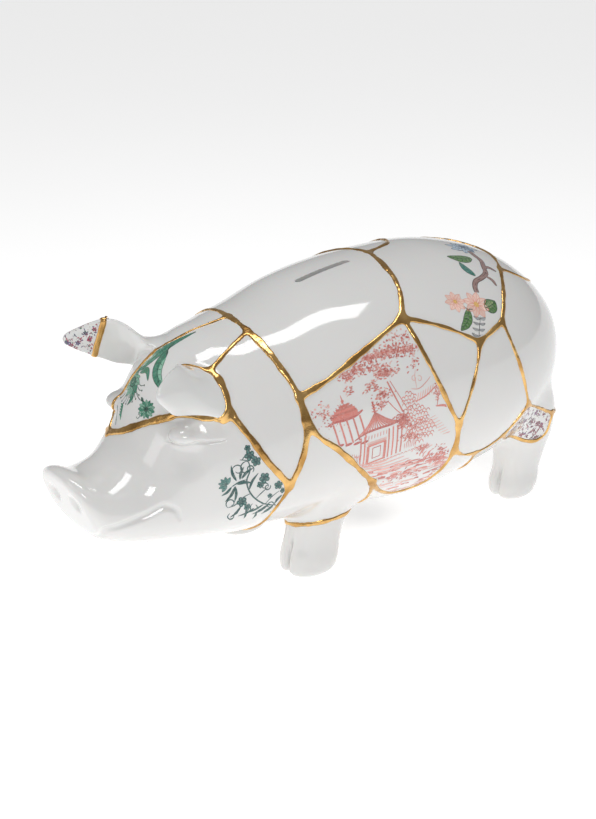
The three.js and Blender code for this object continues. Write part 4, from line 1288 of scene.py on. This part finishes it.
    # ground, steps, water and reeds along the bottom
    for k in range(5):
        t.stroke([(-20 + 3 * k, -29 - 2.2 * k), (2, -32 - 2 * k), (16 + 4 * k, -30 - 2.4 * k)], 1.2,
                 CORAL_LIGHT)
    for k in range(14):
        x = -12 + 2.6 * k
        low = -33.6 + 0.28 * k
        t.stroke([(x, low), (x + 1.2, low + 1.0), (x + 2.4, low)], 0.5, CORAL)
    for k in range(120):
        p = t.draw.uniform((-12, -64), (50, -37))
        length = t.draw.uniform(3, 12)
        t.stroke([p, p + (length / 2, 0.5), p + (length, -0.1)], t.draw.uniform(0.5, 2.0),
                 (CORAL, CORAL_LIGHT, CORAL_DARK)[k % 3])
    for k in range(26):
        p = np.array([32 + 0.9 * k, -36 - 0.55 * k + 3.0 * math.sin(k)])
        t.leaf(p, p + (2.6, 4.4), 0.9, CORAL, None, 0.2)
    foliage(t, (34, -30), (6, 2.4), 60)
    foliage(t, (48, -38), (7, 5), 80, (CORAL_DARK, CORAL))
    foliage(t, (20, -48), (14, 4), 90)
    t.speckle((-30, -34), (-12, -22), 40, (0.8, 2.2), [CORAL, CORAL_LIGHT])
    t.speckle((-42, -8), (-20, 14), 30, (0.4, 1.2), [CORAL_LIGHT, CORAL])
    return t


def paint_hind_patch():
    """A dense speckled floral print in wine red."""
    t = Transfer(127.5, 118, 25)
    t.speckle((-42, -24), (34, 34), 900, (0.9, 3.2), MAROON)
    for k in range(26):
        p = t.draw.uniform((-40, -20), (32, 30))
        t.bloom(p, 5, 2.4, 1.5, MAROON[k % 4], None, MAROON[4], t.draw.uniform(0, 1.2))
    return t


def paint_ear_tip():
    """A fine speckled floral print in reds and violets on the broken-off tip."""
    t = Transfer(-98, 0, 26)
    tip = onto_skin(ear_point(36.0, 0.0)[None], 6)[0]
    t.set_frame(tip, 0)
    t.speckle((-24, -18), (24, 18), 800, (0.5, 1.7), TIP_INKS)
    for k in range(20):
        p = t.draw.uniform((-20, -14), (20, 14))
        t.bloom(p, 6, 1.8, 0.9, TIP_INKS[k % 4], None, TIP_INKS[4], t.draw.uniform(0, 1))
    return t


def ear_point(along, across):
    """A point beside the inner face of the right ear."""
    axis = unit(EAR_AXIS)
    rise = unit(np.array([0, 0, 1.0]) - axis[2] * axis)
    out = np.cross(rise, axis)
    twist = math.radians(curve(EAR_TWIST, along))
    across, through = across + curve(EAR_BEND, along), 5.0
    return (EAR_ROOT + axis * along + rise * (across * math.cos(twist) + through * math.sin(twist))
            + out * (through * math.cos(twist) - across * math.sin(twist)))


def make_transfers(skin, parts):
    material = transfer_material()
    for name, shard, paint in (("cheek_transfer", "face", paint_cheek),
                               ("forehead_transfer", "forehead", paint_forehead),
                               ("flank_transfer", "left_flank", paint_flank),
                               ("rump_transfer", "rump_top", paint_rump),
                               ("hind_transfer", "hind_left_patch", paint_hind_patch),
                               ("ear_tip_transfer", "right_ear_tip", paint_ear_tip)):
        paint().make(name, shard, skin, parts, material)


# ---------------------------------------------------------------- stopper
PLUG_CLEARANCE = 0.3
STOPPER_TURNS = 96


def make_stopper():
    """The plug turned from its outline: a flange, a hollow plug and a dimple underneath."""
    low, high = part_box("stopper")
    centre_x, centre_y = (low[0] + high[0]) / 2 / MM, (low[1] + high[1]) / 2 / MM
    radius, base, top = (high[0] - low[0]) / 2 / MM, low[2] / MM, high[2] / MM
    plug = HOLE_RADIUS - PLUG_CLEARANCE
    outline = [(0, base + 0.9), (4, base + 0.9), (5, base + 0.2), (6.2, base), (radius - 1.4, base),
               (radius - 0.4, base + 0.4), (radius, base + 1.4), (radius - 0.2, base + 2.4),
               (radius - 1.0, base + 3.0), (plug + 0.1, base + 3.0), (plug, base + 3.4),
               (plug, base + 6.5), (plug - 0.9, top - 0.8), (plug - 1.8, top), (plug - 4.4, top),
               (plug - 5, top - 0.8), (plug - 5, base + 5.2), (0, base + 5.2)]
    turns = STOPPER_TURNS
    rings = [(r, z) for r, z in outline if r > 0]
    vertices, faces = [], []
    for r, z in rings:
        for k in range(turns):
            a = 2 * math.pi * k / turns
            vertices.append((centre_x + r * math.cos(a), centre_y + r * math.sin(a), z))
    for i in range(len(rings) - 1):
        for k in range(turns):
            a, b = i * turns + k, i * turns + (k + 1) % turns
            faces += [(a, b, b + turns), (a, b + turns, a + turns)]
    for ring, z, flip in ((0, outline[0][1], True), (len(rings) - 1, outline[-1][1], False)):
        vertices.append((centre_x, centre_y, z))
        for k in range(turns):
            a, b = ring * turns + k, ring * turns + (k + 1) % turns
            faces.append((len(vertices) - 1, b, a) if flip else (len(vertices) - 1, a, b))
    made = make_object("rubber_stopper", np.array(vertices), np.array(faces), None, rubber_material(),
                       "stopper", "rubber")
    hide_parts("stopper")


# ---------------------------------------------------------------- floor, lights and camera
FLOOR_SIZE, FLOOR_GLOW = 30, 0.56           # the floor glows a little, as a bright sweep does
ROOM_BRIGHTNESS = 0.28
LIGHT_AIM = Vector((0, 0, 0.1))
SOFTBOXES = [  # name, place and size in metres, power in watts
    ("key_softbox", (-0.55, -0.75, 0.85), (0.38, 0.28), 2.9),
    ("top_softbox", (0.06, 0.10, 1.15), (0.80, 0.24), 3.7),
    ("fill_softbox", (-1.2, 0.25, 0.6), (0.4, 0.6), 1.2),
]
CAMERA_AZIMUTH, CAMERA_ELEVATION, CAMERA_DISTANCE = -38.5, 22.5, 1.008
CAMERA_AIM = Vector((0, 0, 0.0864))
SENSOR_WIDTH, LENS = 36, 68.1
CAMERA_SHIFT = (-0.0183, 0.0027)


def area_light(name, place, size, power):
    data = bpy.data.lights.new(name, "AREA")
    data.shape, data.size, data.size_y = "RECTANGLE", size[0], size[1]
    data.energy = power
    lamp = bpy.data.objects.new(name, data)
    lamp.location = place
    lamp.rotation_euler = (LIGHT_AIM - Vector(place)).to_track_quat("-Z", "Y").to_euler()
    bpy.context.collection.objects.link(lamp)


def make_stage():
    """A pale floor, a dim grey room and three softboxes."""
    m = Nodes("pale_floor").set(Roughness=0.6, Emission_Color=(1, 1, 1, 1), Emission_Strength=FLOOR_GLOW)
    m.link(m.blend(m.noise(3, 2), (0.90, 0.90, 0.90), (0.93, 0.93, 0.93)), "Base Color")
    bpy.ops.mesh.primitive_plane_add(size=FLOOR_SIZE, location=(0, 0, 0))
    floor = bpy.context.object
    floor.name = "floor"
    floor.data.materials.append(m.material)
    world = bpy.data.worlds.new("studio")
    world.use_nodes = True
    world.node_tree.nodes["Background"].inputs["Color"].default_value = (1.0, 1.0, 1.0, 1)
    world.node_tree.nodes["Background"].inputs["Strength"].default_value = ROOM_BRIGHTNESS
    bpy.context.scene.world = world
    bpy.context.scene.view_settings.view_transform = "Standard"
    for name, place, size, power in SOFTBOXES:
        area_light(name, place, size, power)


def make_camera():
    """A view of the pig's front left from a little above, framed with a small shift."""
    azimuth, elevation = math.radians(CAMERA_AZIMUTH), math.radians(CAMERA_ELEVATION)
    back = Vector((math.sin(azimuth) * math.cos(elevation), -math.cos(azimuth) * math.cos(elevation),
                   math.sin(elevation)))
    data = bpy.data.cameras.new("camera")
    data.sensor_width = SENSOR_WIDTH
    data.lens = LENS
    data.shift_x, data.shift_y = CAMERA_SHIFT
    camera = bpy.data.objects.new("camera", data)
    camera.location = CAMERA_AIM + back * CAMERA_DISTANCE
    camera.rotation_euler = (-back).to_track_quat("-Z", "Y").to_euler()
    bpy.context.collection.objects.link(camera)
    bpy.context.scene.camera = camera


make_camera()
make_stage()
make_pig()
make_stopper()
